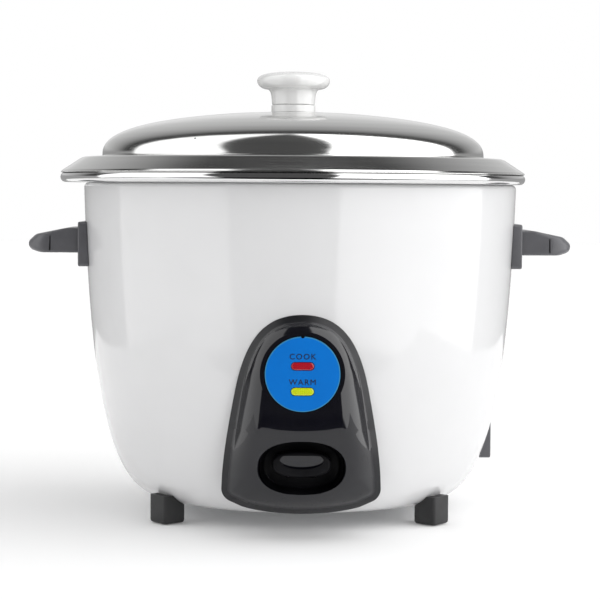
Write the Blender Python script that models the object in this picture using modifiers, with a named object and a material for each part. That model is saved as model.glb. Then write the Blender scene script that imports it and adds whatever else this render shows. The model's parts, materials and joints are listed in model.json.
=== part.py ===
"""Drum rice cooker with a lift-out pot, a loose lid and a magnetic cook switch.

Every size and place below is in millimetres, and the helper functions turn them into Blender's
metres. The body's axis is Z, its feet stand on Z = 0, its front faces -Y and its handles lie along X.
The pot, lid and knob share an axis of their own, because a pot sits loosely in its well.
"""

import math

import bmesh
import bpy
from mathutils import Matrix, Vector

MM = 0.001
STEPS = 36
SMALL_STEPS = 16
GAP = 0.3

# Outer shell: one drawn steel drum. Its side is one cubic curve from the foot ring to the shoulder.
SHELL_CURVE = ((85.5, 9.5), (113.3, 9.5), (128.5, 57.3), (132.5, 197.0))
SHELL_WALL = 0.8
SHELL_TOP = 200.0
SHOULDER_R = 3.0
LIP_R = 127.0
FLANGE_R = 77.0

# Inner liner: the heat shield that carries the heating plate.
LINER_WALL = 0.7
LINER_RIM = (129.6, 201.2)
LINER_SIDE = ((126.2, 186.0), (124.4, 165.0), (120.2, 101.0), (118.0, 68.0), (114.5, 59.0), (106.0, 55.0))
LINER_HOLE_R = 68.0

BASE_PLATE_R = 84.0
BASE_PLATE_Z = (10.7, 12.0)

# Pot, lid and knob, all turned round their own axis.
POT_X = -4.5
POT_BOTTOM = 73.0
POT_WALL = 1.2
POT_CORNER_R = 30.0
POT_LOW_R = 113.6
POT_MOUTH_R = 119.8
POT_FLANGE_Z = 201.6
BEAD_CENTRE = (139.4, 203.4)
BEAD_R = 3.1
LID_DOME = ((24.0, 243.4), (103.0, 238.7), (117.0, 228.2), (117.0, 216.5))
LID_BRIM = ((118.2, 215.8), (130.0, 215.4), (136.5, 212.6), (142.2, 206.9))
LID_WALL = 0.8
LID_RING_Z = 199.5
LID_BORE_R = 2.6
VENT_PLACE = (-61.0, -99.0, 224.8)
VENT_R = 0.9
KNOB_R = 22.4
KNOB_TOP = 268.5
KNOB_DISC_Z = 257.9
KNOB_NECK_R = 13.9
COLLAR_R = 13.5
COLLAR_TOP = 248.0

# Handles on the shell's sides.
HANDLE_PLATE_X = 134.4
HANDLE_PLATE_Z = (149.0, 176.0)
HANDLE_PLATE_HALF = 28.0
HANDLE_GRIP = ((133.0, 157.0), (133.0, 172.0), (142.0, 172.0), (161.0, 168.0), (166.1, 163.5),
               (164.8, 159.0), (159.8, 157.5))
HANDLE_GRIP_HALF = 25.0
HANDLE_TIP_R = 13.0
GRIP_WALL = 3.0
HANDLE_SCREW_Y = 18.0
HANDLE_SCREW_Z = 162.5

# Feet under the shell's corner curve.
FOOT_SIDE = 15.0
FOOT_RING_R = 100.3
FOOT_AZIMUTHS = (-39.0, 39.0, 141.0, 219.0)
FOOT_TALL = 24.0
FOOT_SCREW_R = 1.6
FOOT_BORE_R = 3.8
FOOT_SEAT_Z = 5.0

# Control panel on the front.
PANEL_TOP = 127.0
PANEL_WALL = 2.5
PANEL_WAIST = (37.6, 83.0)
PANEL_FOOT = (45.2, 23.0)
PANEL_BOTTOM = 10.2
PANEL_SIDE = ((139.0, 118.0), (138.8, 76.0), (138.8, 22.0), (113.0, 9.0))
PANEL_BAND = 6.5
PANEL_BAND_DROP = 8.0
DISC_Z = 95.0
DISC_R = 20.9
DISC_BACK_Y = -137.2
DISC_FRONT_Y = -139.0
LAMP_SIZE = (12.8, 4.2)
COOK_LAMP_Z = 99.4
WARM_LAMP_Z = 85.4
POCKET_Z = 41.8
POCKET_HALF = (23.2, 15.0)
POCKET_POWER = 2.5
POCKET_BACK_Y = -120.6
PANEL_SCREW_X = 30.0
PANEL_SCREW_Z = 40.0

# Cook switch: a lever on a cross pin, with the paddle in front and the magnet's rod behind.
PIVOT = (0.0, -71.0, 40.0)
PIN_R = 1.8
LEVER_HALF = 7.0
LEVER_THICK = 2.0
LEVER_TOP = ((-125.2, 43.5), (-82.0, 43.5), (-71.0, 41.0), (-54.0, 36.0), (2.0, 33.5))
KNUCKLE_R = 4.5
KNUCKLE_HALF = 10.2
PADDLE_Z = 43.5
PADDLE_HALF = (16.5, 7.2)
PADDLE_Y = (-128.6, -121.9)
EAR_X = (11.0, 12.2)
EAR_OUTLINE = ((-80.0, 12.3), (-60.0, 12.3), (-60.0, 46.0), (-78.0, 46.0), (-92.0, 36.0), (-92.0, 21.0),
               (-80.0, 18.0))
BRACKET_BASE_Y = (-79.0, -60.0)
MICRO_Y = (-91.0, -79.0)
MICRO_Z = (24.0, 34.0)
MICRO_HALF = 10.5
PLUNGER_Y = -85.0

# Heating plate and the thermostat under its middle.
PLATE_TOP = 72.7
PLATE_R = 82.0
PLATE_HOLE_R = 21.0
PLATE_UNDER = 67.0
ELEMENT_RING = (48.0, 62.0)
ELEMENT_UNDER = 62.0
LEG_RING_R = 76.0
LEG_AZIMUTHS = (90.0, 210.0, 330.0)
CUP_R = 18.0
CUP_BOTTOM = 60.0
FERRITE_R = 9.0
FERRITE_Z = (66.0, 70.9)
MAGNET_TOP = 58.0
MAGNET_FLANGE_R = 15.0
ROD_FOOT_Z = 34.0
TERMINAL_X = 9.0
TERMINAL_Y = 55.0

# Mains inlet on the right.
INLET_Y = 13.5
INLET_Z = (30.3, 53.8)
INLET_HALF = 15.5
INLET_FACE_X = 119.6
INLET_BODY_X = 92.0
CAVITY_HALF = (12.0, 8.2)
CAVITY_BACK_X = 104.0
PIN_PLACES = {"line": (-7.0, -2.0), "neutral": (7.0, -2.0), "earth": (0.0, 3.0)}

TURN = {
    "X": Matrix(((0, 0, 1), (1, 0, 0), (0, 1, 0))),
    "Y": Matrix(((1, 0, 0), (0, 0, -1), (0, 1, 0))),
    "Z": Matrix.Identity(3),
}


# Scene, materials and outlines.

def clear_scene():
    for item in list(bpy.data.objects):
        bpy.data.objects.remove(item, do_unlink=True)


def collection(name):
    group = bpy.data.collections.new(name)
    bpy.context.scene.collection.children.link(group)
    return group


def finish(name, colour, roughness, metallic=0.0):
    material = bpy.data.materials.new(name)
    material.use_nodes = True
    shader = material.node_tree.nodes["Principled BSDF"]
    shader.inputs["Base Color"].default_value = (*colour, 1.0)
    shader.inputs["Roughness"].default_value = roughness
    shader.inputs["Metallic"].default_value = metallic
    return material


def bezier(ends, count):
    """Points along a cubic curve given by its two ends and two handles."""
    points = []
    for i in range(count + 1):
        t = i / count
        weights = ((1 - t) ** 3, 3 * t * (1 - t) ** 2, 3 * t * t * (1 - t), t ** 3)
        points.append(tuple(sum(w * p[k] for w, p in zip(weights, ends)) for k in range(2)))
    return points


def arc(centre, radius, start, end, count):
    points = []
    for i in range(count + 1):
        angle = math.radians(start + (end - start) * i / count)
        points.append((centre[0] + radius * math.cos(angle), centre[1] + radius * math.sin(angle)))
    return points


def offset(points, distance):
    """The same run of points moved to the left of its direction by a distance."""
    moved = []
    for i, (x, y) in enumerate(points):
        before = points[max(i - 1, 0)]
        after = points[min(i + 1, len(points) - 1)]
        along = Vector((after[0] - before[0], after[1] - before[1])).normalized()
        moved.append((x - along.y * distance, y + along.x * distance))
    return moved


def oval(half_width, half_height, power, count, centre=(0.0, 0.0)):
    """A superellipse: power 2 is an ellipse, and a higher power is squarer."""
    points = []
    for i in range(count):
        angle = 2 * math.pi * i / count
        across = math.copysign(abs(math.cos(angle)) ** (2 / power), math.cos(angle))
        up = math.copysign(abs(math.sin(angle)) ** (2 / power), math.sin(angle))
        points.append((centre[0] + half_width * across, centre[1] + half_height * up))
    return points


def rectangle(low, high):
    return [(low[0], low[1]), (high[0], low[1]), (high[0], high[1]), (low[0], high[1])]


# Objects.

def add(name, mesh, material=None):
    """A piece when it has a material, and otherwise a hidden guide that cuts or joins pieces."""
    item = bpy.data.objects.new(name, mesh)
    if material:
        mesh.materials.append(material)
        PARTS.objects.link(item)
    else:
        CUTTERS.objects.link(item)
        item.hide_render = True
        item.display_type = "WIRE"
    return item


def turned(name, profile, material=None, centre=(0.0, 0.0), steps=STEPS):
    """A profile of (radius, height) swept round Z: a closed ring if it stays clear of the axis."""
    mesh = bpy.data.meshes.new(name)
    edges = [(i, i + 1) for i in range(len(profile) - 1)]
    if profile[0][0] > 0:
        edges.append((len(profile) - 1, 0))
    mesh.from_pydata([(r * MM, 0.0, z * MM) for r, z in profile], edges, [])
    item = add(name, mesh, material)
    item.location = (centre[0] * MM, centre[1] * MM, 0.0)
    screw = item.modifiers.new("Turn", "SCREW")
    screw.steps = steps
    screw.render_steps = steps
    screw.use_merge_vertices = True
    screw.merge_threshold = 0.00001
    return item


def prism(name, outline, axis, low, high, material=None):
    """A flat outline carried along an axis from low to high.

    The outline's two numbers are (y, z) for axis X, (x, z) for axis Y and (x, y) for axis Z.
    """
    curve = bpy.data.curves.new(name, "CURVE")
    curve.dimensions = "2D"
    curve.fill_mode = "BOTH"
    curve.extrude = (high - low) / 2 * MM
    spline = curve.splines.new("POLY")
    spline.points.add(len(outline) - 1)
    spline.use_cyclic_u = True
    for point, (u, v) in zip(spline.points, outline):
        point.co = (u * MM, v * MM, 0.0, 1.0)
    guide = bpy.data.objects.new(name + "_outline", curve)
    CUTTERS.objects.link(guide)
    bpy.context.view_layer.update()
    seen = guide.evaluated_get(bpy.context.evaluated_depsgraph_get())
    mesh = bpy.data.meshes.new_from_object(seen)
    bpy.data.objects.remove(guide)
    weld(mesh)
    middle = (low + high) / 2 * MM
    if axis == "Y":
        middle = -middle
    mesh.transform(Matrix.Translation((0.0, 0.0, middle)))
    mesh.transform(TURN[axis].to_4x4())
    mesh.materials.clear()
    mesh.name = name
    return add(name, mesh, material)


def weld(mesh):
    work = bmesh.new()
    work.from_mesh(mesh)
    bmesh.ops.remove_doubles(work, verts=work.verts, dist=0.00001)
    bmesh.ops.recalc_face_normals(work, faces=work.faces)
    work.to_mesh(mesh)
    work.free()


def block(name, low, high, material=None):
    return prism(name, rectangle(low[:2], high[:2]), "Z", low[2], high[2], material)


def rod(name, radius, axis, place, low, high, material=None, sides=SMALL_STEPS):
    """A round bar along an axis, at a place given by its other two coordinates."""
    return prism(name, oval(radius, radius, 2, sides, place), axis, low, high, material)


def tube(name, points, radius, material):
    """A wire through a run of points."""
    curve = bpy.data.curves.new(name, "CURVE")
    curve.dimensions = "3D"
    curve.bevel_depth = radius * MM
    curve.bevel_resolution = 2
    curve.use_fill_caps = True
    spline = curve.splines.new("POLY")
    spline.points.add(len(points) - 1)
    for point, place in zip(spline.points, points):
        point.co = (*(c * MM for c in place), 1.0)
    curve.materials.append(material)
    item = bpy.data.objects.new(name, curve)
    PARTS.objects.link(item)
    return item


def boolean(target, guides, operation):
    for guide in guides:
        change = target.modifiers.new(operation.title(), "BOOLEAN")
        change.operation = operation
        change.solver = "EXACT"
        change.object = guide


def cut(target, *guides):
    boolean(target, guides, "DIFFERENCE")


def join(target, *guides):
    boolean(target, guides, "UNION")


def keep_common(target, *guides):
    boolean(target, guides, "INTERSECT")


def joint_axis(name, place, *pieces):
    """An empty on a joint's axis, with the pieces that move about it or along it."""
    empty = bpy.data.objects.new(name, None)
    empty.location = [c * MM for c in place]
    empty.empty_display_size = 0.01
    PARTS.objects.link(empty)
    bpy.context.view_layer.update()
    for piece in pieces:
        piece.parent = empty
        piece.matrix_parent_inverse = empty.matrix_world.inverted()
    return empty


def around(radius, azimuth):
    angle = math.radians(azimuth)
    return radius * math.cos(angle), radius * math.sin(angle)


# Body.

def shell_side():
    """The shell's outer side, from the shoulder down to the foot ring."""
    return list(reversed(bezier(SHELL_CURVE, 7)))


def make_outer_shell():
    side = shell_side()
    bend = (SHELL_CURVE[3][0] - SHOULDER_R, SHELL_TOP - SHOULDER_R)
    outside = [(LIP_R, SHELL_TOP)] + arc(bend, SHOULDER_R, 90, 30, 2) + side + [(FLANGE_R, SHELL_CURVE[0][1])]
    inside = [(FLANGE_R, SHELL_CURVE[0][1] + SHELL_WALL)]
    inside += list(reversed(offset(side, -SHELL_WALL)))
    inside += arc(bend, SHOULDER_R - SHELL_WALL, 30, 90, 2)
    inside += [(LIP_R, SHELL_TOP - SHELL_WALL)]
    shell = turned("outer_shell", outside + inside, PAINT)
    lever_slot = block("lever_slot", (-9, -130, 34.5), (9, -100, 48))
    inlet_hole = block("inlet_hole", (100, INLET_Y - 13.5, 32.2), (130, INLET_Y + 13.5, 51.9))
    cut(shell, lever_slot, inlet_hole)
    for azimuth in FOOT_AZIMUTHS:
        cut(shell, rod(f"foot_hole_{azimuth:g}", 2.1, "Z", around(FOOT_RING_R, azimuth), 5, 25, sides=8))
    for side_name, sign in (("left", -1), ("right", 1)):
        for y in (-HANDLE_SCREW_Y, HANDLE_SCREW_Y):
            place = (y, HANDLE_SCREW_Z)
            span = sorted((sign * 120, sign * 140))
            cut(shell, rod(f"handle_hole_{side_name}_{y:g}", 2.1, "X", place, *span, sides=8))
        place = (sign * PANEL_SCREW_X, PANEL_SCREW_Z)
        cut(shell, rod(f"panel_hole_{side_name}", 1.9, "Y", place, -130, -100, sides=8))
    return shell


def make_shell_envelope():
    """The space the shell takes, with a gap, to shape what is fixed on it."""
    side = offset(shell_side(), GAP)
    profile = [(0, SHELL_TOP + 5), (side[0][0], SHELL_TOP + 5)] + side + [(0, side[-1][1])]
    return turned("shell_envelope", profile)


def make_inner_liner():
    top = LINER_RIM[1]
    wall = [(LINER_SIDE[0][0], top - LINER_WALL)] + list(LINER_SIDE)
    floor_z = LINER_SIDE[-1][1]
    outside = [LINER_RIM, (LINER_RIM[0], top - 0.8)] + wall + [(LINER_HOLE_R, floor_z)]
    inside = [(LINER_HOLE_R, floor_z + LINER_WALL)]
    inside += list(reversed([(r - LINER_WALL, z + 0.6 * LINER_WALL) for r, z in LINER_SIDE[:-1]] +
                            [(LINER_SIDE[-1][0], floor_z + LINER_WALL)]))
    inside += [(LINER_SIDE[0][0] - LINER_WALL, top)]
    liner = turned("inner_liner", outside + inside, GALVANISED)
    for azimuth in LEG_AZIMUTHS:
        cut(liner, rod(f"liner_hole_{azimuth:g}", 2.1, "Z", around(LEG_RING_R, azimuth), 50, 60, sides=8))
    return liner


def make_base_plate():
    low, high = BASE_PLATE_Z
    profile = [(0, high), (BASE_PLATE_R, high), (BASE_PLATE_R, low), (0, low)]
    return turned("base_plate", profile, GALVANISED)


def make_feet(envelope):
    half = FOOT_SIDE / 2
    for number, azimuth in enumerate(FOOT_AZIMUTHS, start=1):
        x, y = around(FOOT_RING_R, azimuth)
        foot = block(f"foot_{number}", (-half, -half, 0), (half, half, FOOT_TALL), RUBBER)
        foot.location = (x * MM, y * MM, 0.0)
        foot.rotation_euler.z = math.radians(azimuth)
        screw_way = rod(f"foot_way_{number}", 2.1, "Z", (x, y), -5, 30, sides=8)
        seat = rod(f"foot_seat_{number}", FOOT_BORE_R, "Z", (x, y), -5, FOOT_SEAT_Z)
        cut(foot, envelope, screw_way, seat)
        head_z = FOOT_SEAT_Z - GAP
        profile = [(0, 17.5), (FOOT_SCREW_R, 17.5), (FOOT_SCREW_R, head_z), (3.2, head_z), (3.2, 2.6), (0, 2.6)]
        turned(f"foot_screw_{number}", profile, STEEL, (x, y), steps=8)


# Handles.

def make_handle(side_name, sign, envelope):
    flip = [(sign * x, z) for x, z in HANDLE_GRIP]
    near, far = sorted((sign * 126, sign * HANDLE_PLATE_X))
    handle = block(f"handle_{side_name}", (near, -HANDLE_PLATE_HALF, HANDLE_PLATE_Z[0]),
                   (far, HANDLE_PLATE_HALF, HANDLE_PLATE_Z[1]), PLASTIC)
    grip = prism(f"grip_side_{side_name}", flip, "Y", -HANDLE_GRIP_HALF, HANDLE_GRIP_HALF)
    keep_common(grip, prism(f"grip_plan_{side_name}", grip_plan(sign), "Z", 140, 190))
    low, high = sorted((sign * 138.5, sign * 161.9))
    wall = GRIP_WALL
    hollow = block(f"finger_hollow_{side_name}", (low, wall - HANDLE_GRIP_HALF, 150),
                   (high, HANDLE_GRIP_HALF - wall, 164.5))
    join(handle, grip)
    cut(handle, envelope, hollow)
    for y in (-HANDLE_SCREW_Y, HANDLE_SCREW_Y):
        place = (y, HANDLE_SCREW_Z)
        span = sorted((sign * 120, sign * 136))
        bore = rod(f"handle_bore_{side_name}_{y:g}", 1.9, "X", place, *span, sides=8)
        cut(handle, bore)
        end = "front" if y < 0 else "rear"
        make_handle_screw(f"handle_screw_{side_name}_{end}", sign, y)
    return handle


def grip_plan(sign):
    """The grip from above: straight sides and two round outer corners."""
    tip = HANDLE_GRIP[4][0]
    half = HANDLE_GRIP_HALF
    outer = arc((tip - HANDLE_TIP_R, -half + HANDLE_TIP_R), HANDLE_TIP_R, -90, 0, 5)
    outer += arc((tip - HANDLE_TIP_R, half - HANDLE_TIP_R), HANDLE_TIP_R, 0, 90, 5)
    return [(sign * x, y) for x, y in [(130, half), (130, -half)] + outer]


def make_handle_screw(name, sign, y):
    """A pan screw from inside the shell into the handle's plate."""
    profile = [(0, 135.5), (1.6, 135.5), (1.6, 127.9), (3.2, 127.9), (3.2, 126.2), (0, 126.2)]
    screw = turned(name, profile, STEEL, steps=8)
    screw.rotation_euler = (0.0, sign * math.pi / 2, 0.0)
    screw.location = (0.0, y * MM, HANDLE_SCREW_Z * MM)


# Control panel.

def panel_outline(inset=0.0):
    """The arch seen from the front, with a bowed lower edge."""
    top = PANEL_TOP - inset
    waist = (PANEL_WAIST[0] - inset, PANEL_WAIST[1])
    foot = (PANEL_FOOT[0] - inset, PANEL_FOOT[1] + inset)
    bottom = PANEL_BOTTOM + inset
    crown = bezier(((0, top), (23 - inset / 2, top), (waist[0] - 5.1, 110 - inset), waist), 7)
    side = bezier((waist, (waist[0] + 3.8, 63), (foot[0] - 0.5, 45), foot), 4)
    right = crown + side[1:]
    left = [(-x, z) for x, z in right]
    below = bezier((left[-1], (17 - foot[0], bottom), (foot[0] - 17, bottom), foot), 8)
    return list(reversed(right)) + left[1:] + below[1:-1]


def panel_skin(name, inset=0.0):
    """A turned solid whose side is the panel's front surface."""
    side = offset(bezier(PANEL_SIDE, 6), -inset)
    profile = [(0, 140), (side[0][0], 140)] + side + [(0, side[-1][1])]
    return turned(name, profile, steps=STEPS)


def make_control_panel(envelope):
    panel = prism("control_panel", panel_outline(), "Y", -150, -85, GLOSS_BLACK)
    keep_common(panel, panel_skin("panel_band_skin", PANEL_BAND_DROP))
    crown = prism("panel_crown", panel_outline(PANEL_BAND), "Y", -150, -85)
    skin = panel_skin("panel_skin")
    keep_common(crown, skin)
    join(panel, crown)
    hollow = prism("panel_hollow", panel_outline(PANEL_BAND + PANEL_WALL), "Y", -150, -80)
    keep_common(hollow, panel_skin("panel_hollow_skin", PANEL_WALL))
    cut(panel, hollow)
    disc_boss = rod("disc_boss", 24.5, "Y", (0, DISC_Z), -139.5, -131, sides=32)
    pocket_boss = prism("pocket_boss", pocket_outline(1.6), "Y", -145, POCKET_BACK_Y + 1.6)
    keep_common(pocket_boss, skin)
    join(panel, disc_boss, pocket_boss)
    for sign in (-1, 1):
        join(panel, rod(f"panel_boss_{sign}", 4, "Y", (sign * PANEL_SCREW_X, PANEL_SCREW_Z), -127.5, -100))
    disc_seat = rod("disc_seat", DISC_R + 0.4, "Y", (0, DISC_Z), -145, DISC_BACK_Y + GAP, sides=32)
    pocket = prism("pocket", pocket_outline(), "Y", -150, POCKET_BACK_Y)
    lever_way = block("lever_way", (-8.6, -125, 34.5), (8.6, -110, 48))
    cut(panel, disc_seat, pocket, lever_way, envelope)
    for name, z in (("cook", COOK_LAMP_Z), ("warm", WARM_LAMP_Z)):
        cut(panel, prism(f"lamp_way_{name}", lamp_outline(z, GAP), "Y", -145, -125))
    for sign in (-1, 1):
        place = (sign * PANEL_SCREW_X, PANEL_SCREW_Z)
        cut(panel, rod(f"panel_bore_{sign}", 1.7, "Y", place, -119, -95, sides=8))
        make_panel_screw(sign)
    return panel


def make_panel_screw(sign):
    """A pan screw from inside the shell into one of the panel's bosses."""
    profile = [(0, 117.5), (1.4, 117.5), (1.4, 107.2), (2.8, 107.2), (2.8, 105.6), (0, 105.6)]
    screw = turned("panel_screw_right" if sign > 0 else "panel_screw_left", profile, STEEL, steps=8)
    screw.rotation_euler = (math.pi / 2, 0.0, 0.0)
    screw.location = (sign * PANEL_SCREW_X * MM, 0.0, PANEL_SCREW_Z * MM)


def pocket_outline(outset=0.0):
    return oval(POCKET_HALF[0] + outset, POCKET_HALF[1] + outset, POCKET_POWER, 28, (0.0, POCKET_Z))


def lamp_outline(z, outset=0.0):
    half = LAMP_SIZE[1] / 2 + outset
    reach = LAMP_SIZE[0] / 2 - LAMP_SIZE[1] / 2
    return arc((reach, z), half, -90, 90, 5) + arc((-reach, z), half, 90, 270, 5)


def make_indicators():
    disc = rod("indicator_disc", DISC_R, "Y", (0, DISC_Z), DISC_FRONT_Y, DISC_BACK_Y, BLUE, sides=32)
    notch = rod("disc_notch", 1.2, "Y", (0, DISC_Z + DISC_R), -145, -130, sides=8)
    cut(disc, notch)
    for name, z, colour in (("cook", COOK_LAMP_Z, RED_LENS), ("warm", WARM_LAMP_Z, YELLOW_LENS)):
        cut(disc, prism(f"disc_way_{name}", lamp_outline(z, GAP), "Y", -145, -130))
        prism(f"lamp_lens_{name}", lamp_outline(z), "Y", DISC_FRONT_Y - 0.4, -131, colour)
    low, high = (-12, -130.6, 82), (12, -127.4, 103)
    block("lamp_holder", low, high, BOARD)


# Cook switch.

def lever_outline():
    top = list(LEVER_TOP)
    return top + [(y, z - LEVER_THICK) for y, z in reversed(top)]


def make_lever():
    arm = prism("lever_arm", lever_outline(), "X", -LEVER_HALF, LEVER_HALF, STEEL)
    knuckle = rod("lever_knuckle", KNUCKLE_R, "X", PIVOT[1:], -KNUCKLE_HALF, KNUCKLE_HALF)
    bore = rod("lever_bore", PIN_R + GAP, "X", PIVOT[1:], -15, 15)
    join(arm, knuckle)
    cut(arm, bore)
    outline = oval(*PADDLE_HALF, POCKET_POWER, 24, (0.0, PADDLE_Z))
    paddle = prism("lever_paddle", outline, "Y", *PADDLE_Y, GLOSS_BLACK)
    slot_z = (LEVER_TOP[0][1] - LEVER_THICK - GAP, LEVER_TOP[0][1] + GAP)
    slot = block("paddle_slot", (-LEVER_HALF - GAP, LEVER_TOP[0][0] - GAP, slot_z[0]),
                 (LEVER_HALF + GAP, -115, slot_z[1]))
    cut(paddle, slot)
    joint_axis("switch_axis", PIVOT, arm, paddle)


def make_lever_bracket():
    low_x, high_x = EAR_X
    low, high = (-high_x, BRACKET_BASE_Y[0], 12.3), (high_x, BRACKET_BASE_Y[1], 13.6)
    bracket = block("lever_bracket", low, high, STEEL)
    for name, start, end in (("left", -high_x, -low_x), ("right", low_x, high_x)):
        join(bracket, prism(f"ear_{name}", list(EAR_OUTLINE), "X", start, end))
    cut(bracket, rod("bracket_bore", PIN_R + GAP, "X", PIVOT[1:], -20, 20))
    rod("lever_pin", PIN_R, "X", PIVOT[1:], -14.5, 14.5, STEEL)


def make_microswitch():
    low = (-MICRO_HALF, MICRO_Y[0], MICRO_Z[0])
    high = (MICRO_HALF, MICRO_Y[1], MICRO_Z[1])
    switch = block("microswitch", low, high, PLASTIC)
    place = (0.0, PLUNGER_Y)
    cut(switch, rod("plunger_way", 2.0, "Z", place, 28, 40))
    profile = [(0, 41.1), (1.6, 41.1), (1.6, 30.5), (0, 30.5)]
    plunger = turned("microswitch_plunger", profile, RED_LENS, place, 10)
    joint_axis("plunger_axis", (0.0, PLUNGER_Y, 34.0), plunger)


# Heating plate, thermostat and magnet.

def make_heating_plate():
    inner, outer = ELEMENT_RING
    profile = [(PLATE_HOLE_R, PLATE_TOP), (PLATE_R - 1.5, PLATE_TOP), (PLATE_R, PLATE_TOP - 1.5),
               (PLATE_R, PLATE_UNDER + 1), (outer + 4, PLATE_UNDER), (outer, ELEMENT_UNDER),
               (inner, ELEMENT_UNDER), (inner - 4, PLATE_UNDER), (PLATE_HOLE_R, PLATE_UNDER)]
    plate = turned("heating_plate", profile, ALUMINIUM)
    for number, azimuth in enumerate(LEG_AZIMUTHS, start=1):
        place = around(LEG_RING_R, azimuth)
        cut(plate, rod(f"plate_bore_{number}", 2.0, "Z", place, 60, 70, sides=8))
        leg = [(2.1, 66.6), (5.0, 66.6), (5.0, 56.4), (2.1, 56.4)]
        turned(f"plate_leg_{number}", leg, STEEL, place, 8)
        screw = [(0, 69.4), (1.6, 69.4), (1.6, 54.6), (3.4, 54.6), (3.4, 52.6), (0, 52.6)]
        turned(f"plate_screw_{number}", screw, STEEL, place, 8)
    for side_name, x in (("left", -TERMINAL_X), ("right", TERMINAL_X)):
        profile = [(0, ELEMENT_UNDER - GAP), (2.2, ELEMENT_UNDER - GAP), (2.2, 50), (0, 50)]
        turned(f"heater_terminal_{side_name}", profile, STEEL, (x, TERMINAL_Y), 8)
    profile = [(0, 66.6), (8, 66.6), (8, 56.5), (5, 56.5), (5, 53), (0, 53)]
    turned("keep_warm_thermostat", profile, PLASTIC, (0, -35), 16)
    rod("thermal_fuse", 2.2, "X", (36.0, 64.3), -9, 9, STEEL, sides=10)


def make_sensor():
    wall = 1.1
    top = PLATE_TOP
    profile = [(0, top), (CUP_R - 1, top), (CUP_R, top - 1), (CUP_R, CUP_BOTTOM), (CUP_R - wall, CUP_BOTTOM),
               (CUP_R - wall, top - 1.5), (0, top - 1.5)]
    cup = turned("sensor_cup", profile, ALUMINIUM, steps=32)
    low, high = FERRITE_Z
    profile = [(0, high), (FERRITE_R, high), (FERRITE_R, low), (0, low)]
    ferrite = turned("thermal_ferrite", profile, FERRITE, steps=16)
    joint_axis("sensor_axis", (0, 0, top), cup, ferrite)
    bracket = rod("sensor_bracket", 20.5, "Z", (0, 0), 44, 45.2, STEEL, sides=24)
    for name, sign in (("left", -1), ("right", 1)):
        near, far = sorted((sign * 19.3, sign * 20.5))
        ear = block(f"sensor_ear_{name}", (near, -5, 44.4), (far, 5, 66.6))
        near, far = sorted((sign * 19.6, sign * 32))
        join(bracket, ear, block(f"sensor_tab_{name}", (near, -5, 65.4), (far, 5, 66.6)))
    cut(bracket, rod("rod_way", 5.0, "Z", (0, 0), 40, 50))
    coil("sensor_spring", 16.9, 0.5, 45.9, 59.1, 3)


def make_magnet():
    top = MAGNET_TOP
    profile = [(0, top), (FERRITE_R, top), (FERRITE_R, top - 5), (MAGNET_FLANGE_R, top - 5),
               (MAGNET_FLANGE_R, top - 6.2), (0, top - 6.2)]
    magnet = turned("magnet", profile, STEEL, steps=20)
    under = top - 6.2 - GAP
    foot = ROD_FOOT_Z
    profile = [(0, under), (2.2, under), (2.2, foot + 2), (4.2, foot + 2), (4.2, foot), (0, foot)]
    pull_rod = turned("magnet_rod", profile, BRASS, steps=16)
    joint_axis("magnet_axis", (0, 0, foot), magnet, pull_rod)
    coil("magnet_spring", 12.5, 0.45, top - 4.2, 70.4, 4)


def coil(name, radius, wire, low, high, turns):
    """A helical spring between two heights, measured at the wire's centre."""
    per_turn = 9
    count = turns * per_turn
    points = []
    for i in range(count + 1):
        angle = 2 * math.pi * i / per_turn
        points.append((radius * math.cos(angle), radius * math.sin(angle), low + (high - low) * i / count))
    return tube(name, points, wire, STEEL)


# Mains inlet.

def make_inlet(envelope):
    middle = sum(INLET_Z) / 2
    socket = block("inlet_socket", (107, INLET_Y - INLET_HALF, INLET_Z[0]),
                   (INLET_FACE_X, INLET_Y + INLET_HALF, INLET_Z[1]), PLASTIC)
    low = (INLET_BODY_X, INLET_Y - 13, middle - 9.5)
    body = block("inlet_body", low, (INLET_FACE_X - 1, INLET_Y + 13, middle + 9.5))
    cut(socket, envelope)
    join(socket, body)
    half_y, half_z = CAVITY_HALF
    chamfer = 4.0
    mouth = [(INLET_Y - half_y, middle - half_z), (INLET_Y + half_y, middle - half_z),
             (INLET_Y + half_y, middle + half_z - chamfer), (INLET_Y + half_y - chamfer, middle + half_z),
             (INLET_Y - half_y + chamfer, middle + half_z), (INLET_Y - half_y, middle + half_z - chamfer)]
    cut(socket, prism("inlet_mouth", mouth, "X", CAVITY_BACK_X, 130))
    for name, (across, up) in PIN_PLACES.items():
        y, z = INLET_Y + across, middle + up
        way = rectangle((y - 1 - GAP, z - 2 - GAP), (y + 1 + GAP, z + 2 + GAP))
        cut(socket, prism(f"pin_way_{name}", way, "X", 80, 110))
        prism(f"inlet_pin_{name}", rectangle((y - 1, z - 2), (y + 1, z + 2)), "X", 87, 115, BRASS)


def make_wires():
    middle = sum(INLET_Z) / 2
    line_y, line_z = INLET_Y + PIN_PLACES["line"][0], middle + PIN_PLACES["line"][1]
    neutral_y = INLET_Y + PIN_PLACES["neutral"][0]
    tube("wire_switch", [(86.4, line_y, line_z), (76, line_y - 4, 37), (58, -16, 28), (40, -52, 24), (24, -78, 26),
                         (12.9, -86, 28)], 1.2, RED_WIRE)
    tube("wire_heater", [(86.4, neutral_y, line_z), (72, 26, 42), (48, 44, 46), (26, 54, 47.5), (9, 55, 48.2)],
         1.2, WHITE_WIRE)


# Pot and lid.

def pot_side():
    """The pot's outer side, from its mouth down to the flat bottom."""
    corner = (POT_LOW_R - POT_CORNER_R, POT_BOTTOM + POT_CORNER_R)
    return [(POT_MOUTH_R, POT_FLANGE_Z)] + arc(corner, POT_CORNER_R, 0, -90, 4)


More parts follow.
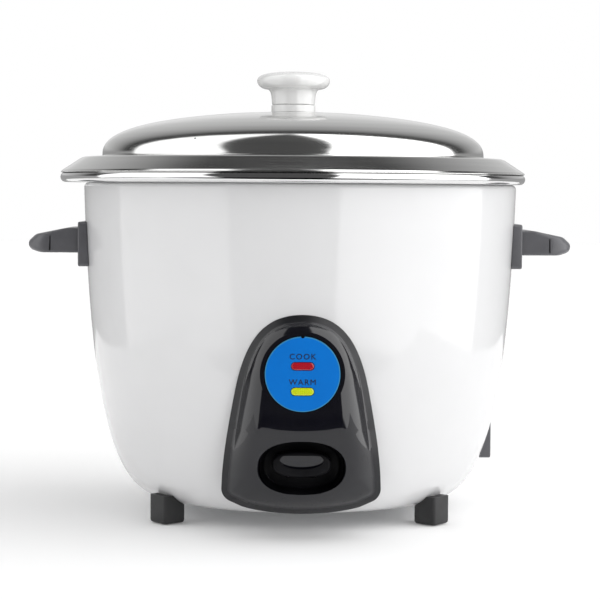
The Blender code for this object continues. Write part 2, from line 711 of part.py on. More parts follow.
def make_pot():
    side = pot_side()
    inside = offset(side, -POT_WALL)
    inside[0] = (POT_MOUTH_R - POT_WALL, POT_FLANGE_Z + POT_WALL)
    inside[-1] = (side[-1][0], POT_BOTTOM + POT_WALL)
    bead = arc(BEAD_CENTRE, BEAD_R, 168, -145, 6)
    profile = [(0, POT_BOTTOM + POT_WALL)] + list(reversed(inside))
    profile += [(bead[0][0], POT_FLANGE_Z + POT_WALL)] + bead + [(bead[-1][0], POT_FLANGE_Z)]
    profile += side + [(0, POT_BOTTOM)]
    pot = turned("inner_pot", profile, ALUMINIUM, (POT_X, 0))
    joint_axis("pot_axis", (POT_X, 0, 0), pot)


def make_lid():
    dome = bezier(LID_DOME, 6)
    brim = list(LID_BRIM)
    dome_under = offset(dome, -LID_WALL)
    brim_under = offset(brim, -LID_WALL)
    ring = [(dome_under[-1][0], LID_RING_Z), (dome_under[-1][0] + LID_WALL, LID_RING_Z)]
    brim_under[0] = (ring[1][0], brim_under[1][1])
    outside = [(LID_BORE_R, LID_DOME[0][1])] + dome + brim
    inside = list(reversed(brim_under)) + [ring[1], ring[0]] + list(reversed(dome_under))
    inside += [(LID_BORE_R, LID_DOME[0][1] - LID_WALL)]
    lid = turned("lid", outside + inside, POLISHED, (POT_X, 0))
    vent = rod("vent_way", VENT_R, "Z", (0, 0), -6, 6, sides=10)
    vent.location = (VENT_PLACE[0] * MM, VENT_PLACE[1] * MM, VENT_PLACE[2] * MM)
    outward = Vector((VENT_PLACE[0] - POT_X, VENT_PLACE[1], 80.0))
    vent.rotation_euler = outward.to_track_quat("Z", "Y").to_euler()
    cut(lid, vent)
    top = LID_DOME[0][1]
    low_z = top + GAP
    collar = turned("knob_collar", [(3.4, COLLAR_TOP), (COLLAR_R, COLLAR_TOP), (COLLAR_R, low_z), (3.4, low_z)],
                    GLOSS_WHITE, (POT_X, 0), 24)
    knob = turned("lid_knob", knob_profile(), GLOSS_WHITE, (POT_X, 0), 24)
    under = top - LID_WALL - GAP
    screw = turned("knob_screw", [(0, 261.5), (2.2, 261.5), (2.2, under), (7.0, under), (7.0, under - 2.4),
                                  (0, under - 2.4)], STEEL, (POT_X, 0), 16)
    joint_axis("lid_axis", (POT_X, 0, 0), lid, collar, knob, screw)


def knob_profile():
    edge = 2.4
    rim = arc((KNOB_R - edge, KNOB_TOP - edge), edge, 90, 0, 3)
    under = arc((KNOB_R - edge, KNOB_DISC_Z + edge), edge, 0, -60, 2)
    base = COLLAR_TOP + GAP
    neck = [(KNOB_NECK_R + 2, KNOB_DISC_Z - 1), (KNOB_NECK_R, KNOB_DISC_Z - 4), (KNOB_NECK_R, base)]
    return [(0, KNOB_TOP)] + rim + under + neck + [(3.0, base), (3.0, 262), (0, 262)]


clear_scene()
PARTS = collection("rice_cooker")
CUTTERS = collection("cutters")

PAINT = finish("white_painted_steel", (0.86, 0.86, 0.86), 0.22)
GALVANISED = finish("galvanised_steel", (0.6, 0.61, 0.62), 0.45, 0.9)
POLISHED = finish("polished_stainless", (0.78, 0.78, 0.78), 0.12, 1.0)
ALUMINIUM = finish("bright_aluminium", (0.8, 0.8, 0.81), 0.25, 1.0)
STEEL = finish("plated_steel", (0.55, 0.55, 0.55), 0.35, 1.0)
BRASS = finish("nickel_brass", (0.75, 0.68, 0.5), 0.3, 1.0)
FERRITE = finish("ferrite", (0.06, 0.06, 0.065), 0.6)
PLASTIC = finish("dark_plastic", (0.045, 0.045, 0.05), 0.45)
RUBBER = finish("dark_foot_plastic", (0.05, 0.05, 0.05), 0.6)
GLOSS_BLACK = finish("gloss_black_plastic", (0.012, 0.012, 0.014), 0.12)
GLOSS_WHITE = finish("gloss_white_plastic", (0.85, 0.85, 0.84), 0.2)
BLUE = finish("blue_indicator", (0.0, 0.14, 0.6), 0.35)
RED_LENS = finish("red_lens", (0.4, 0.0, 0.01), 0.3)
YELLOW_LENS = finish("yellow_lens", (0.62, 0.65, 0.01), 0.3)
BOARD = finish("lamp_board", (0.35, 0.25, 0.12), 0.6)
RED_WIRE = finish("red_wire", (0.5, 0.02, 0.02), 0.45)
WHITE_WIRE = finish("white_wire", (0.8, 0.8, 0.78), 0.45)

ENVELOPE = make_shell_envelope()
make_outer_shell()
make_inner_liner()
make_base_plate()
make_feet(ENVELOPE)
make_handle("left", -1, ENVELOPE)
make_handle("right", 1, ENVELOPE)
make_control_panel(ENVELOPE)
make_indicators()
make_lever()
make_lever_bracket()
make_microswitch()
make_heating_plate()
make_sensor()
make_magnet()
make_inlet(ENVELOPE)
make_wires()
make_pot()
make_lid()
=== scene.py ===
"""The drum rice cooker's looks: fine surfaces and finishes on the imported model, and its studio.

Every size and place below is in millimetres, and the helper functions turn them into metres.
The drum stands on Z = 0 with its axis on Z, its front faces -Y and its handles lie along X.
The pot, the lid and the knob share an axis of their own.
"""

import json
import math

import bmesh
import bpy
from mathutils import Matrix, Vector
from mathutils.kdtree import KDTree


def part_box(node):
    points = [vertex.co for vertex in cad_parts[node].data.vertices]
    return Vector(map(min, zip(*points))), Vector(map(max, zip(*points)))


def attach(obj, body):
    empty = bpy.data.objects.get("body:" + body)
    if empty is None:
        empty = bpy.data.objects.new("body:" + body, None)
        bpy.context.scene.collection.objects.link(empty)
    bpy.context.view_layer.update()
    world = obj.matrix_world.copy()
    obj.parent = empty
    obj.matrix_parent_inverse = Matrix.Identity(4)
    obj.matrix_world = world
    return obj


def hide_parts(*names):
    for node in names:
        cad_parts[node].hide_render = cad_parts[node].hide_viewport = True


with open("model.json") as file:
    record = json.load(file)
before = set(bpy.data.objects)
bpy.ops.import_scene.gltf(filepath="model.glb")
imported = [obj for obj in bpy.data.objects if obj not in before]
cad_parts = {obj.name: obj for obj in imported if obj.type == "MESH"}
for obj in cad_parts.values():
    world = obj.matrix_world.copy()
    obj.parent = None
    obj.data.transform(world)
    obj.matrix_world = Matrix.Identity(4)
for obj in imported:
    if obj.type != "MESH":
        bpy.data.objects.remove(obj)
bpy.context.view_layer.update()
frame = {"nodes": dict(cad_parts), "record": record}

MM = 0.001
STEPS = 224
SMALL_STEPS = 64
GAP = 0.3


def cad(node):
    """A CAD node's lowest and highest corners in millimetres."""
    return [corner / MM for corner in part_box(node)]


# Driving sizes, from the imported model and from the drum's design.
SHELL_HIGH = cad("outer_shell")[1]
SHELL_CURVE = ((85.5, 9.5), (113.3, 9.5), (128.5, 57.3), (SHELL_HIGH.x, 197.0))
SHELL_TOP = SHELL_HIGH.z
SHELL_WALL = 0.8
SHOULDER_R = 3.0
LIP_R = 127.0
FLANGE_R = 77.0
POT_LOW, POT_HIGH = cad("inner_pot")
POT_X = (POT_LOW.x + POT_HIGH.x) / 2
POT_WALL = 1.2
BEAD_R = 3.1
BEAD_CENTRE = ((POT_HIGH.x - POT_LOW.x) / 2 - BEAD_R, POT_HIGH.z - BEAD_R)
LID_LOW, LID_HIGH = cad("lid")
LID_R = (LID_HIGH.x - LID_LOW.x) / 2
LID_DOME = ((24.0, LID_HIGH.z), (103.0, 238.7), (117.0, 228.2), (117.0, 217.2))
LID_WALL = 0.8
LID_LOW_EDGE = 206.3
VENT_PLACE = (-61.0, -99.0, 224.8)
VENT_R = 0.6
KNOB_LOW, KNOB_HIGH = cad("lid_knob")
KNOB_R = (KNOB_HIGH.x - KNOB_LOW.x) / 2
KNOB_TOP = KNOB_HIGH.z
COLLAR_LOW, COLLAR_HIGH = cad("knob_collar")
PANEL_SIDE = ((139.0, 118.0), (138.8, 76.0), (138.8, 22.0), (113.0, 9.0))
PANEL_TOP = 127.0
PANEL_WAIST = (37.6, 83.0)
PANEL_FOOT = (45.2, 23.0)
PANEL_BOTTOM = 10.2
PANEL_CENTRE_Z = 70.0
PANEL_RIM = 3.5
PANEL_RIM_DROP = 3.4
PANEL_ROLL = 11.0
PANEL_ROLL_SLOPE = 2.0
PANEL_ROLL_POWER = 1.9
PANEL_LAST = 18.5
PANEL_DROP = PANEL_RIM_DROP + PANEL_ROLL_SLOPE * PANEL_ROLL / PANEL_ROLL_POWER
PANEL_WALL = 2.2
DISC_LOW, DISC_HIGH = cad("indicator_disc")
DISC_R = (DISC_HIGH.x - DISC_LOW.x) / 2
DISC_Z = (DISC_LOW.z + DISC_HIGH.z) / 2
LAMPS = {"cook": cad("lamp_lens_cook"), "warm": cad("lamp_lens_warm")}
PADDLE_LOW, PADDLE_HIGH = cad("lever_paddle")
PADDLE_Z = (PADDLE_LOW.z + PADDLE_HIGH.z) / 2
POCKET_Z = 41.8
LEVER_SLOT_HALF = 9.0
LEVER_SLOT_LOW = 34.5
LEVER_SLOT_HIGH = 48.0
INLET_LOW, INLET_HIGH = cad("inlet_socket")
INLET_Y = (INLET_LOW.y + INLET_HIGH.y) / 2
INLET_Z = (INLET_LOW.z + INLET_HIGH.z) / 2
INLET_HOLE_HALF = (13.5, 9.85)

AXES = {
    "X": Matrix(((0, 0, 1), (1, 0, 0), (0, 1, 0))).to_4x4(),
    "Y": Matrix(((1, 0, 0), (0, 0, -1), (0, 1, 0))).to_4x4(),
    "Z": Matrix.Identity(4),
}


# Outlines.

def bezier(ends, count):
    """Points along a cubic curve given by its two ends and two handles."""
    points = []
    for i in range(count + 1):
        t = i / count
        weights = ((1 - t) ** 3, 3 * t * (1 - t) ** 2, 3 * t * t * (1 - t), t ** 3)
        points.append(tuple(sum(w * p[k] for w, p in zip(weights, ends)) for k in range(2)))
    return points


def arc(centre, radius, start, end, count):
    points = []
    for i in range(count + 1):
        angle = math.radians(start + (end - start) * i / count)
        points.append((centre[0] + radius * math.cos(angle), centre[1] + radius * math.sin(angle)))
    return points


def oval(half_width, half_height, power=2.0, count=SMALL_STEPS, centre=(0.0, 0.0)):
    """A superellipse: power 2 is an ellipse, and a higher power is squarer."""
    points = []
    for i in range(count):
        angle = 2 * math.pi * i / count
        across = math.copysign(abs(math.cos(angle)) ** (2 / power), math.cos(angle))
        up = math.copysign(abs(math.sin(angle)) ** (2 / power), math.sin(angle))
        points.append((centre[0] + half_width * across, centre[1] + half_height * up))
    return points


def offset(points, distance, closed=False):
    """The same run of points moved to the left of its direction by a distance."""
    moved = []
    last = len(points) - 1
    for i, point in enumerate(points):
        before = points[i - 1] if closed or i > 0 else point
        after = points[(i + 1) % len(points)] if closed or i < last else point
        along = Vector((after[0] - before[0], after[1] - before[1])).normalized()
        moved.append((point[0] - along.y * distance, point[1] + along.x * distance))
    return moved


def rounded(corners, closed=False, count=6):
    """A run of (x, y) or (x, y, radius) corners, with an arc at each corner that has a radius."""
    points = []
    last = len(corners) - 1
    for i, corner in enumerate(corners):
        here = Vector(corner[:2])
        radius = corner[2] if len(corner) > 2 else 0.0
        if radius == 0.0 or (not closed and i in (0, last)):
            points.append(tuple(here))
            continue
        before = Vector(corners[i - 1][:2]) - here
        after = Vector(corners[(i + 1) % len(corners)][:2]) - here
        half = before.angle(after) / 2
        reach = min(radius / math.tan(half), 0.49 * before.length, 0.49 * after.length)
        radius = reach * math.tan(half)
        middle = here + (before.normalized() + after.normalized()).normalized() * (radius / math.sin(half))
        start = here + before.normalized() * reach - middle
        turn = (here + after.normalized() * reach - middle).angle_signed(start)
        for k in range(count + 1):
            spin = Matrix.Rotation(turn * k / count, 2)
            points.append(tuple(middle + spin @ start))
    return points


def resampled(points, count):
    """Points evenly spaced along a closed outline."""
    loop = [Vector(p) for p in points] + [Vector(points[0])]
    spans = [(b - a).length for a, b in zip(loop, loop[1:])]
    total = sum(spans)
    evenly = []
    index, passed = 0, 0.0
    for i in range(count):
        along = total * i / count
        while passed + spans[index] < along:
            passed += spans[index]
            index += 1
        share = (along - passed) / spans[index]
        evenly.append(tuple(loop[index].lerp(loop[index + 1], share)))
    return evenly


def reach_at(curve, height):
    """A falling curve's first coordinate at a given height, held at its ends."""
    points = bezier(curve, 80)
    if points[0][1] > points[-1][1]:
        points.reverse()
    if height <= points[0][1]:
        return points[0][0]
    for (r1, z1), (r2, z2) in zip(points, points[1:]):
        if z1 <= height <= z2:
            return r1 + (r2 - r1) * (height - z1) / (z2 - z1)
    return points[-1][0]


def rectangle(low, high):
    return [(low[0], low[1]), (high[0], low[1]), (high[0], high[1]), (low[0], high[1])]


def round_rectangle(low, high, radius):
    return rounded([(*corner, radius) for corner in rectangle(low, high)], closed=True)


def ramp(value, start, end):
    """0 at the start, 1 at the end, straight between them and held outside them."""
    return min(1.0, max(0.0, (value - start) / (end - start)))


# Meshes.

def finished(name, work, angle=32.0):
    """A new object from a bmesh in millimetres, smooth except at its sharp edges."""
    bmesh.ops.recalc_face_normals(work, faces=work.faces)
    bmesh.ops.scale(work, vec=(MM, MM, MM), verts=work.verts)
    mesh = bpy.data.meshes.new(name)
    work.to_mesh(mesh)
    work.free()
    item = bpy.data.objects.new(name, mesh)
    bpy.context.scene.collection.objects.link(item)
    smooth(item, angle)
    return item


def smooth(item, angle=32.0):
    item.data.shade_smooth()
    item.data.set_sharp_from_angle(angle=math.radians(angle))


def turned(name, profile, centre=(0.0, 0.0), steps=STEPS, angle=32.0):
    """A profile of (radius, height) turned round an upright axis; a ring if it stays clear of it."""
    work = bmesh.new()
    rings = []
    for radius, height in profile:
        if radius < 1e-6:
            rings.append([work.verts.new((centre[0], centre[1], height))] * steps)
            continue
        ring = []
        for i in range(steps):
            turn = 2 * math.pi * i / steps
            x, y = centre[0] + radius * math.cos(turn), centre[1] + radius * math.sin(turn)
            ring.append(work.verts.new((x, y, height)))
        rings.append(ring)
    if profile[0][0] >= 1e-6:
        rings.append(rings[0])
    for lower, upper in zip(rings, rings[1:]):
        for i in range(steps):
            j = (i + 1) % steps
            corners = list(dict.fromkeys((lower[i], lower[j], upper[j], upper[i])))
            if len(corners) > 2:
                work.faces.new(corners)
    return finished(name, work, angle)


def loft(name, rings, angle=32.0):
    """A closed skin through rings of points that all have the same count."""
    work = bmesh.new()
    made = [[work.verts.new(point) for point in ring] for ring in rings]
    for lower, upper in zip(made, made[1:]):
        for i in range(len(lower)):
            j = (i + 1) % len(lower)
            work.faces.new((lower[i], lower[j], upper[j], upper[i]))
    work.faces.new(made[0])
    work.faces.new(made[-1])
    return finished(name, work, angle)


def prism(name, outline, axis, low, high, bevel=0.0, angle=32.0):
    """A flat outline carried along an axis, with its rims rounded over.

    The outline's two numbers are (y, z) for axis X, (x, z) for axis Y and (x, y) for axis Z.
    """
    if axis == "Y":
        low, high = -high, -low
    levels = [(low, 0.0), (high, 0.0)]
    if bevel:
        quarter = [math.radians(90 * i / 4) for i in range(5)]
        levels = [(low + bevel * (1 - math.cos(t)), bevel * (1 - math.sin(t))) for t in quarter]
        levels += [(high - level + low, inset) for level, inset in reversed(levels)]
    area = sum(a[0] * b[1] - b[0] * a[1] for a, b in zip(outline, outline[1:] + outline[:1]))
    side = 1.0 if area > 0 else -1.0
    rings = [[(u, v, level) for u, v in offset(outline, side * inset, closed=True)] for level, inset in levels]
    item = loft(name, rings, angle)
    item.data.transform(AXES[axis])
    return item


def block(name, low, high, corner=0.0, bevel=0.0):
    outline = round_rectangle(low, high, corner) if corner else rectangle(low, high)
    return prism(name, outline, "Z", low[2], high[2], bevel)


def rod(name, radius, axis, place, low, high, sides=SMALL_STEPS, bevel=0.0):
    return prism(name, oval(radius, radius, 2.0, sides, place), axis, low, high, bevel)


def combine(target, operation, *others, angle=32.0):
    """The target joined with, cut by or kept within the others, which are used up."""
    for other in others:
        change = target.modifiers.new(operation, "BOOLEAN")
        change.operation = operation
        change.solver = "EXACT"
        change.object = other
    bpy.context.view_layer.update()
    seen = target.evaluated_get(bpy.context.evaluated_depsgraph_get())
    mesh = bpy.data.meshes.new_from_object(seen)
    target.modifiers.clear()
    target.data = mesh
    for other in others:
        bpy.data.objects.remove(other)
    smooth(target, angle)
    return target


def cut(target, *others, angle=32.0):
    return combine(target, "DIFFERENCE", *others, angle=angle)


def join(target, *others, angle=32.0):
    return combine(target, "UNION", *others, angle=angle)


def hand_over(item, body, nodes, finish):
    """Gives a piece its finish, the body it rides on and the CAD nodes it stands for."""
    item.data.materials.clear()
    item.data.materials.append(finish)
    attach(item, body)
    if nodes:
        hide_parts(*nodes)
    return item


# Finishes.

PAINT_COLOUR = (0.72, 0.72, 0.726)
BLACK_COLOUR = (0.003, 0.003, 0.006)


class Finish:
    """A material on one Principled shader, with its detail laid out in the piece's own space."""

    def __init__(self, name, colour, roughness, **sockets):
        self.material = bpy.data.materials.new(name)
        self.material.use_nodes = True
        self.tree = self.material.node_tree
        self.shader = self.tree.nodes["Principled BSDF"]
        self.colour = colour
        self.roughness = roughness
        self.shader.inputs["Base Color"].default_value = (*colour, 1.0)
        self.shader.inputs["Roughness"].default_value = roughness
        for socket, value in sockets.items():
            self.shader.inputs[socket.replace("_", " ")].default_value = value
        self.place = self.node("ShaderNodeTexCoord").outputs["Object"]
        self.height = None

    def node(self, kind, **settings):
        made = self.tree.nodes.new(kind)
        for key, value in settings.items():
            setattr(made, key, value)
        return made

    def link(self, source, target):
        self.tree.links.new(source, target)

    def maths(self, operation, first, second=0.0):
        made = self.node("ShaderNodeMath", operation=operation)
        for socket, value in zip(made.inputs, (first, second)):
            if isinstance(value, (int, float)):
                socket.default_value = value
            else:
                self.link(value, socket)
        return made.outputs[0]

    def noise(self, scale, detail=3.0, place=None):
        made = self.node("ShaderNodeTexNoise")
        made.inputs["Scale"].default_value = scale
        made.inputs["Detail"].default_value = detail
        self.link(place or self.place, made.inputs["Vector"])
        return made.outputs["Fac"]

    def cells(self, scale, feature="F1", output="Distance", place=None):
        made = self.node("ShaderNodeTexVoronoi", feature=feature)
        made.inputs["Scale"].default_value = scale
        self.link(place or self.place, made.inputs["Vector"])
        return made.outputs[output]

    def stretched(self, x, y, z):
        """The piece's space scaled along each axis, which draws grain out along the short ones."""
        made = self.node("ShaderNodeMapping")
        made.inputs["Scale"].default_value = (x, y, z)
        self.link(self.place, made.inputs["Vector"])
        return made.outputs["Vector"]

    def lathe(self, centre, turns=2.0):
        """Space laid out as radius, height and a slow turn, for marks that run round an axis."""
        shift = self.node("ShaderNodeVectorMath", operation="SUBTRACT")
        shift.inputs[1].default_value = (centre[0] * MM, centre[1] * MM, 0.0)
        self.link(self.place, shift.inputs[0])
        parts = self.node("ShaderNodeSeparateXYZ")
        self.link(shift.outputs[0], parts.inputs[0])
        square = self.maths("ADD", self.maths("MULTIPLY", parts.outputs[0], parts.outputs[0]),
                            self.maths("MULTIPLY", parts.outputs[1], parts.outputs[1]))
        radius = self.maths("SQRT", square)
        turn = self.maths("ARCTAN2", parts.outputs[1], parts.outputs[0])
        joined = self.node("ShaderNodeCombineXYZ")
        self.link(radius, joined.inputs[0])
        self.link(parts.outputs[2], joined.inputs[1])
        self.link(self.maths("MULTIPLY", turn, turns * MM), joined.inputs[2])
        return joined.outputs[0]

    def between(self, value, low, high, first=0.0, second=1.0):
        made = self.node("ShaderNodeMapRange")
        for name, number in (("From Min", low), ("From Max", high), ("To Min", first), ("To Max", second)):
            made.inputs[name].default_value = number
        self.link(value, made.inputs["Value"])
        return made.outputs["Result"]

    def tint(self, share, other):
        """Mixes the base colour so far towards another colour by a share from 0 to 1."""
        made = self.node("ShaderNodeMix", data_type="RGBA")
        here = self.shader.inputs["Base Color"]
        if here.is_linked:
            self.link(here.links[0].from_socket, made.inputs["A"])
        else:
            made.inputs[6].default_value = (*self.colour, 1.0)
        if isinstance(other, tuple):
            made.inputs[7].default_value = (*other, 1.0)
        self.link(share, made.inputs[0])
        self.link(made.outputs[2], here)
        return self

    def rough(self, value, spread):
        """Roughness that goes up and down round its middle with a value from 0 to 1."""
        low, high = self.roughness - spread, self.roughness + spread
        self.link(self.between(value, 0.3, 0.7, low, high), self.shader.inputs["Roughness"])
        return self

    def bump(self, height, depth, coat=False):
        """Raises the surface by a height from 0 to 1 times a depth in millimetres."""
        made = self.node("ShaderNodeBump")
        made.inputs["Strength"].default_value = 1.0
        made.inputs["Distance"].default_value = depth * MM
        self.link(height, made.inputs["Height"])
        if self.height:
            self.link(self.height, made.inputs["Normal"])
        self.height = made.outputs["Normal"]
        self.link(self.height, self.shader.inputs["Normal"])
        if coat:
            self.link(self.height, self.shader.inputs["Coat Normal"])
        return self


def paint_finish():
    made = Finish("white_enamel", PAINT_COLOUR, 0.42, Coat_Weight=1.0, Coat_Roughness=0.035, Coat_IOR=1.45)
    made.tint(made.between(made.noise(14.0, 4.0), 0.35, 0.7), tuple(c * 0.965 for c in PAINT_COLOUR))
    made.rough(made.noise(90.0), 0.05)
    made.bump(made.noise(420.0, 2.0), 0.010, coat=True)
    made.bump(made.noise(45.0, 2.0), 0.012, coat=True)
    return made.material


def lid_finish():
    made = Finish("polished_steel", (0.80, 0.80, 0.79), 0.125, Metallic=1.0)
    rings = made.lathe((POT_X, 0.0))
    fine = made.noise(2600.0, 3.0, rings)
    broad = made.noise(240.0, 4.0, rings)
    made.rough(fine, 0.03)
    made.tint(made.between(broad, 0.3, 0.75), (0.72, 0.72, 0.715))
    made.bump(broad, 0.010)
    made.bump(fine, 0.0012)
    return made.material


def pot_finish():
    made = Finish("spun_aluminium", (0.80, 0.80, 0.81), 0.20, Metallic=1.0)
    rings = made.lathe((POT_X, 0.0))
    fine = made.noise(1800.0, 4.0, rings)
    broad = made.noise(160.0, 3.0, rings)
    made.rough(broad, 0.05)
    made.tint(made.between(broad, 0.3, 0.75), (0.70, 0.70, 0.71))
    made.bump(fine, 0.006)
    return made.material


def bead_finish():
    made = Finish("bright_rolled_rim", (0.84, 0.84, 0.84), 0.09, Metallic=1.0)
    fine = made.noise(1500.0, 3.0, made.lathe((POT_X, 0.0)))
    made.rough(fine, 0.025)
    made.tint(made.between(fine, 0.4, 0.8), (0.78, 0.78, 0.78))
    made.bump(fine, 0.002)
    return made.material


def plate_finish():
    made = Finish("machined_aluminium", (0.74, 0.74, 0.75), 0.30, Metallic=1.0)
    rings = made.lathe((0.0, 0.0), 1.0)
    fine = made.noise(1300.0, 2.0, rings)
    made.rough(fine, 0.08)
    made.tint(made.between(made.noise(60.0, 4.0), 0.35, 0.75), (0.60, 0.58, 0.54))
    made.bump(fine, 0.03)
    return made.material


def galvanised_finish():
    made = Finish("galvanised_sheet", (0.62, 0.63, 0.64), 0.36, Metallic=0.95)
    flakes = made.cells(190.0, output="Color")
    shade = made.node("ShaderNodeSeparateColor")
    made.link(flakes, shade.inputs[0])
    made.tint(made.between(shade.outputs[0], 0.0, 1.0, 0.0, 0.7), (0.47, 0.48, 0.50))
    made.rough(shade.outputs[1], 0.07)
    made.bump(made.noise(300.0), 0.01)
    return made.material


def plated_finish(name, colour, roughness):
    made = Finish(name, colour, roughness, Metallic=1.0)
    worn = made.noise(140.0, 5.0)
    made.tint(made.between(worn, 0.42, 0.72), tuple(c * 0.72 for c in colour))
    made.rough(made.noise(500.0), 0.08)
    made.bump(made.noise(900.0, 4.0), 0.008)
    return made.material


def moulded_finish(name, colour, roughness, grain=0.02, **coat):
    """Moulded plastic with a fine spark grain, a little sink and some shine where hands rub it."""
    made = Finish(name, colour, roughness, **coat)
    made.tint(made.between(made.noise(55.0, 4.0), 0.4, 0.75), tuple(c * 1.25 + 0.004 for c in colour))
    made.rough(made.noise(130.0, 4.0), 0.05)
    made.bump(made.cells(1500.0), grain)
    made.bump(made.noise(2500.0, 2.0), grain * 0.6)
    return made.material


def gloss_finish(name, colour, coat_roughness=0.02, under_gloss=0.5):
    """Polished moulding with a clear skin and hairline scuffs in it."""
    made = Finish(name, colour, 0.22, Coat_Weight=1.0, Coat_Roughness=coat_roughness, Coat_IOR=1.5,
                  Specular_IOR_Level=under_gloss)
    made.tint(made.between(made.noise(30.0, 3.0), 0.4, 0.8), tuple(c * 0.93 + 0.001 for c in colour))
    made.rough(made.noise(900.0, 5.0, made.stretched(1.0, 1.0, 0.12)), 0.06)
    made.bump(made.noise(38.0, 1.0), 0.006, coat=True)
    return made.material


def disc_finish():
    made = Finish("blue_print", (0.0, 0.150, 0.55), 0.5, Specular_IOR_Level=0.1)
    shift = made.node("ShaderNodeVectorMath", operation="SUBTRACT")
    shift.inputs[1].default_value = (0.0, 0.0, DISC_Z * MM)
    made.link(made.place, shift.inputs[0])
    flat = made.node("ShaderNodeVectorMath", operation="MULTIPLY")
    flat.inputs[1].default_value = (1.0, 0.0, 1.0)
    made.link(shift.outputs[0], flat.inputs[0])
    reach = made.node("ShaderNodeVectorMath", operation="LENGTH")
    made.link(flat.outputs[0], reach.inputs[0])
    made.tint(made.between(made.noise(70.0, 4.0), 0.35, 0.75, 0.0, 0.6), (0.0, 0.135, 0.50))
    # Painted highlight: a thin lighter ring tinted into the colour just inside the disc's rounded edge,
    # standing in for the light its rim catches.
    rim = made.between(reach.outputs["Value"], (DISC_R - 0.75) * MM, (DISC_R - 0.55) * MM)
    made.tint(rim, (0.04, 0.22, 0.40))
    made.rough(made.noise(600.0), 0.06)
    made.bump(made.noise(1600.0, 2.0), 0.008)
    return made.material


def lens_finish(name, colour):
    """A clear tinted lens with fine ribs under its face."""
    made = Finish(name, colour, 0.18, Coat_Weight=1.0, Coat_Roughness=0.03, Subsurface_Weight=0.25,
                  Subsurface_Scale=0.002)
    across = made.node("ShaderNodeTexWave", wave_type="BANDS", bands_direction="X")
    across.inputs["Scale"].default_value = 260.0
    made.link(made.place, across.inputs["Vector"])
    lighter = tuple(min(1.0, c * 1.25 + 0.004) for c in colour)
    made.tint(made.between(across.outputs["Fac"], 0.2, 1.0, 0.0, 0.5), lighter)
    made.rough(made.noise(700.0), 0.05)
    made.bump(across.outputs["Fac"], 0.01)
    return made.material


def ferrite_finish():
    made = Finish("pressed_ferrite", (0.06, 0.06, 0.065), 0.62)
    made.tint(made.between(made.noise(1200.0, 4.0), 0.35, 0.7), (0.11, 0.11, 0.12))
    made.rough(made.noise(300.0), 0.1)
    made.bump(made.noise(2000.0, 4.0), 0.03)
    return made.material


def board_finish():
    made = Finish("phenolic_board", (0.35, 0.22, 0.10), 0.55)
    fibres = made.noise(900.0, 4.0, made.stretched(0.1, 1.0, 1.0))
    made.tint(made.between(fibres, 0.3, 0.7), (0.24, 0.14, 0.06))
    made.rough(fibres, 0.08)
    made.bump(fibres, 0.02)
    return made.material


def sleeve_finish(name, colour):
    """A lead's extruded insulation: faint lines along it and a dusty bloom."""
    made = Finish(name, colour, 0.42, Coat_Weight=0.2, Coat_Roughness=0.3)
    made.tint(made.between(made.noise(180.0, 4.0), 0.4, 0.75), tuple(c * 0.75 + 0.02 for c in colour))
    made.rough(made.noise(500.0), 0.08)
    made.bump(made.noise(1400.0, 3.0), 0.015)
    return made.material


# Camera, studio and floor.

CAMERA_DISTANCE = 1200.0
CAMERA_AZIMUTH = -0.85
CAMERA_HEIGHT = 196.0
CAMERA_AIM = (0.4, 0.0, 128.0)
CAMERA_ROLL = 0.4
CAMERA_LENS = 116.4


def make_camera():
    data = bpy.data.cameras.new("camera")
    data.lens = CAMERA_LENS
    data.clip_end = 20.0
    camera = bpy.data.objects.new("camera", data)
    bpy.context.scene.collection.objects.link(camera)
    turn = math.radians(CAMERA_AZIMUTH)
    place = Vector((math.sin(turn) * CAMERA_DISTANCE, -math.cos(turn) * CAMERA_DISTANCE, CAMERA_HEIGHT)) * MM
    facing = (Vector(CAMERA_AIM) * MM - place).to_track_quat("-Z", "Y").to_matrix().to_4x4()
    roll = Matrix.Rotation(math.radians(CAMERA_ROLL), 4, "Z")
    camera.matrix_world = Matrix.Translation(place) @ facing @ roll
    bpy.context.scene.camera = camera
    bpy.context.scene.view_settings.view_transform = "Standard"


LEFT_BOX = 1.42
RIGHT_BOX = 2.35
STUDIO_GAP = 0.08
FILL_MIDDLE = 0.44
FILL_LEFT = 0.85
FILL_RIGHT = 1.15
LOW_WALL = 0.35
BACK_STEPS = ((0.30, 0.05), (0.50, 0.06), (0.64, 0.30), (0.77, 0.45), (0.94, 0.62), (1.0, 0.9))


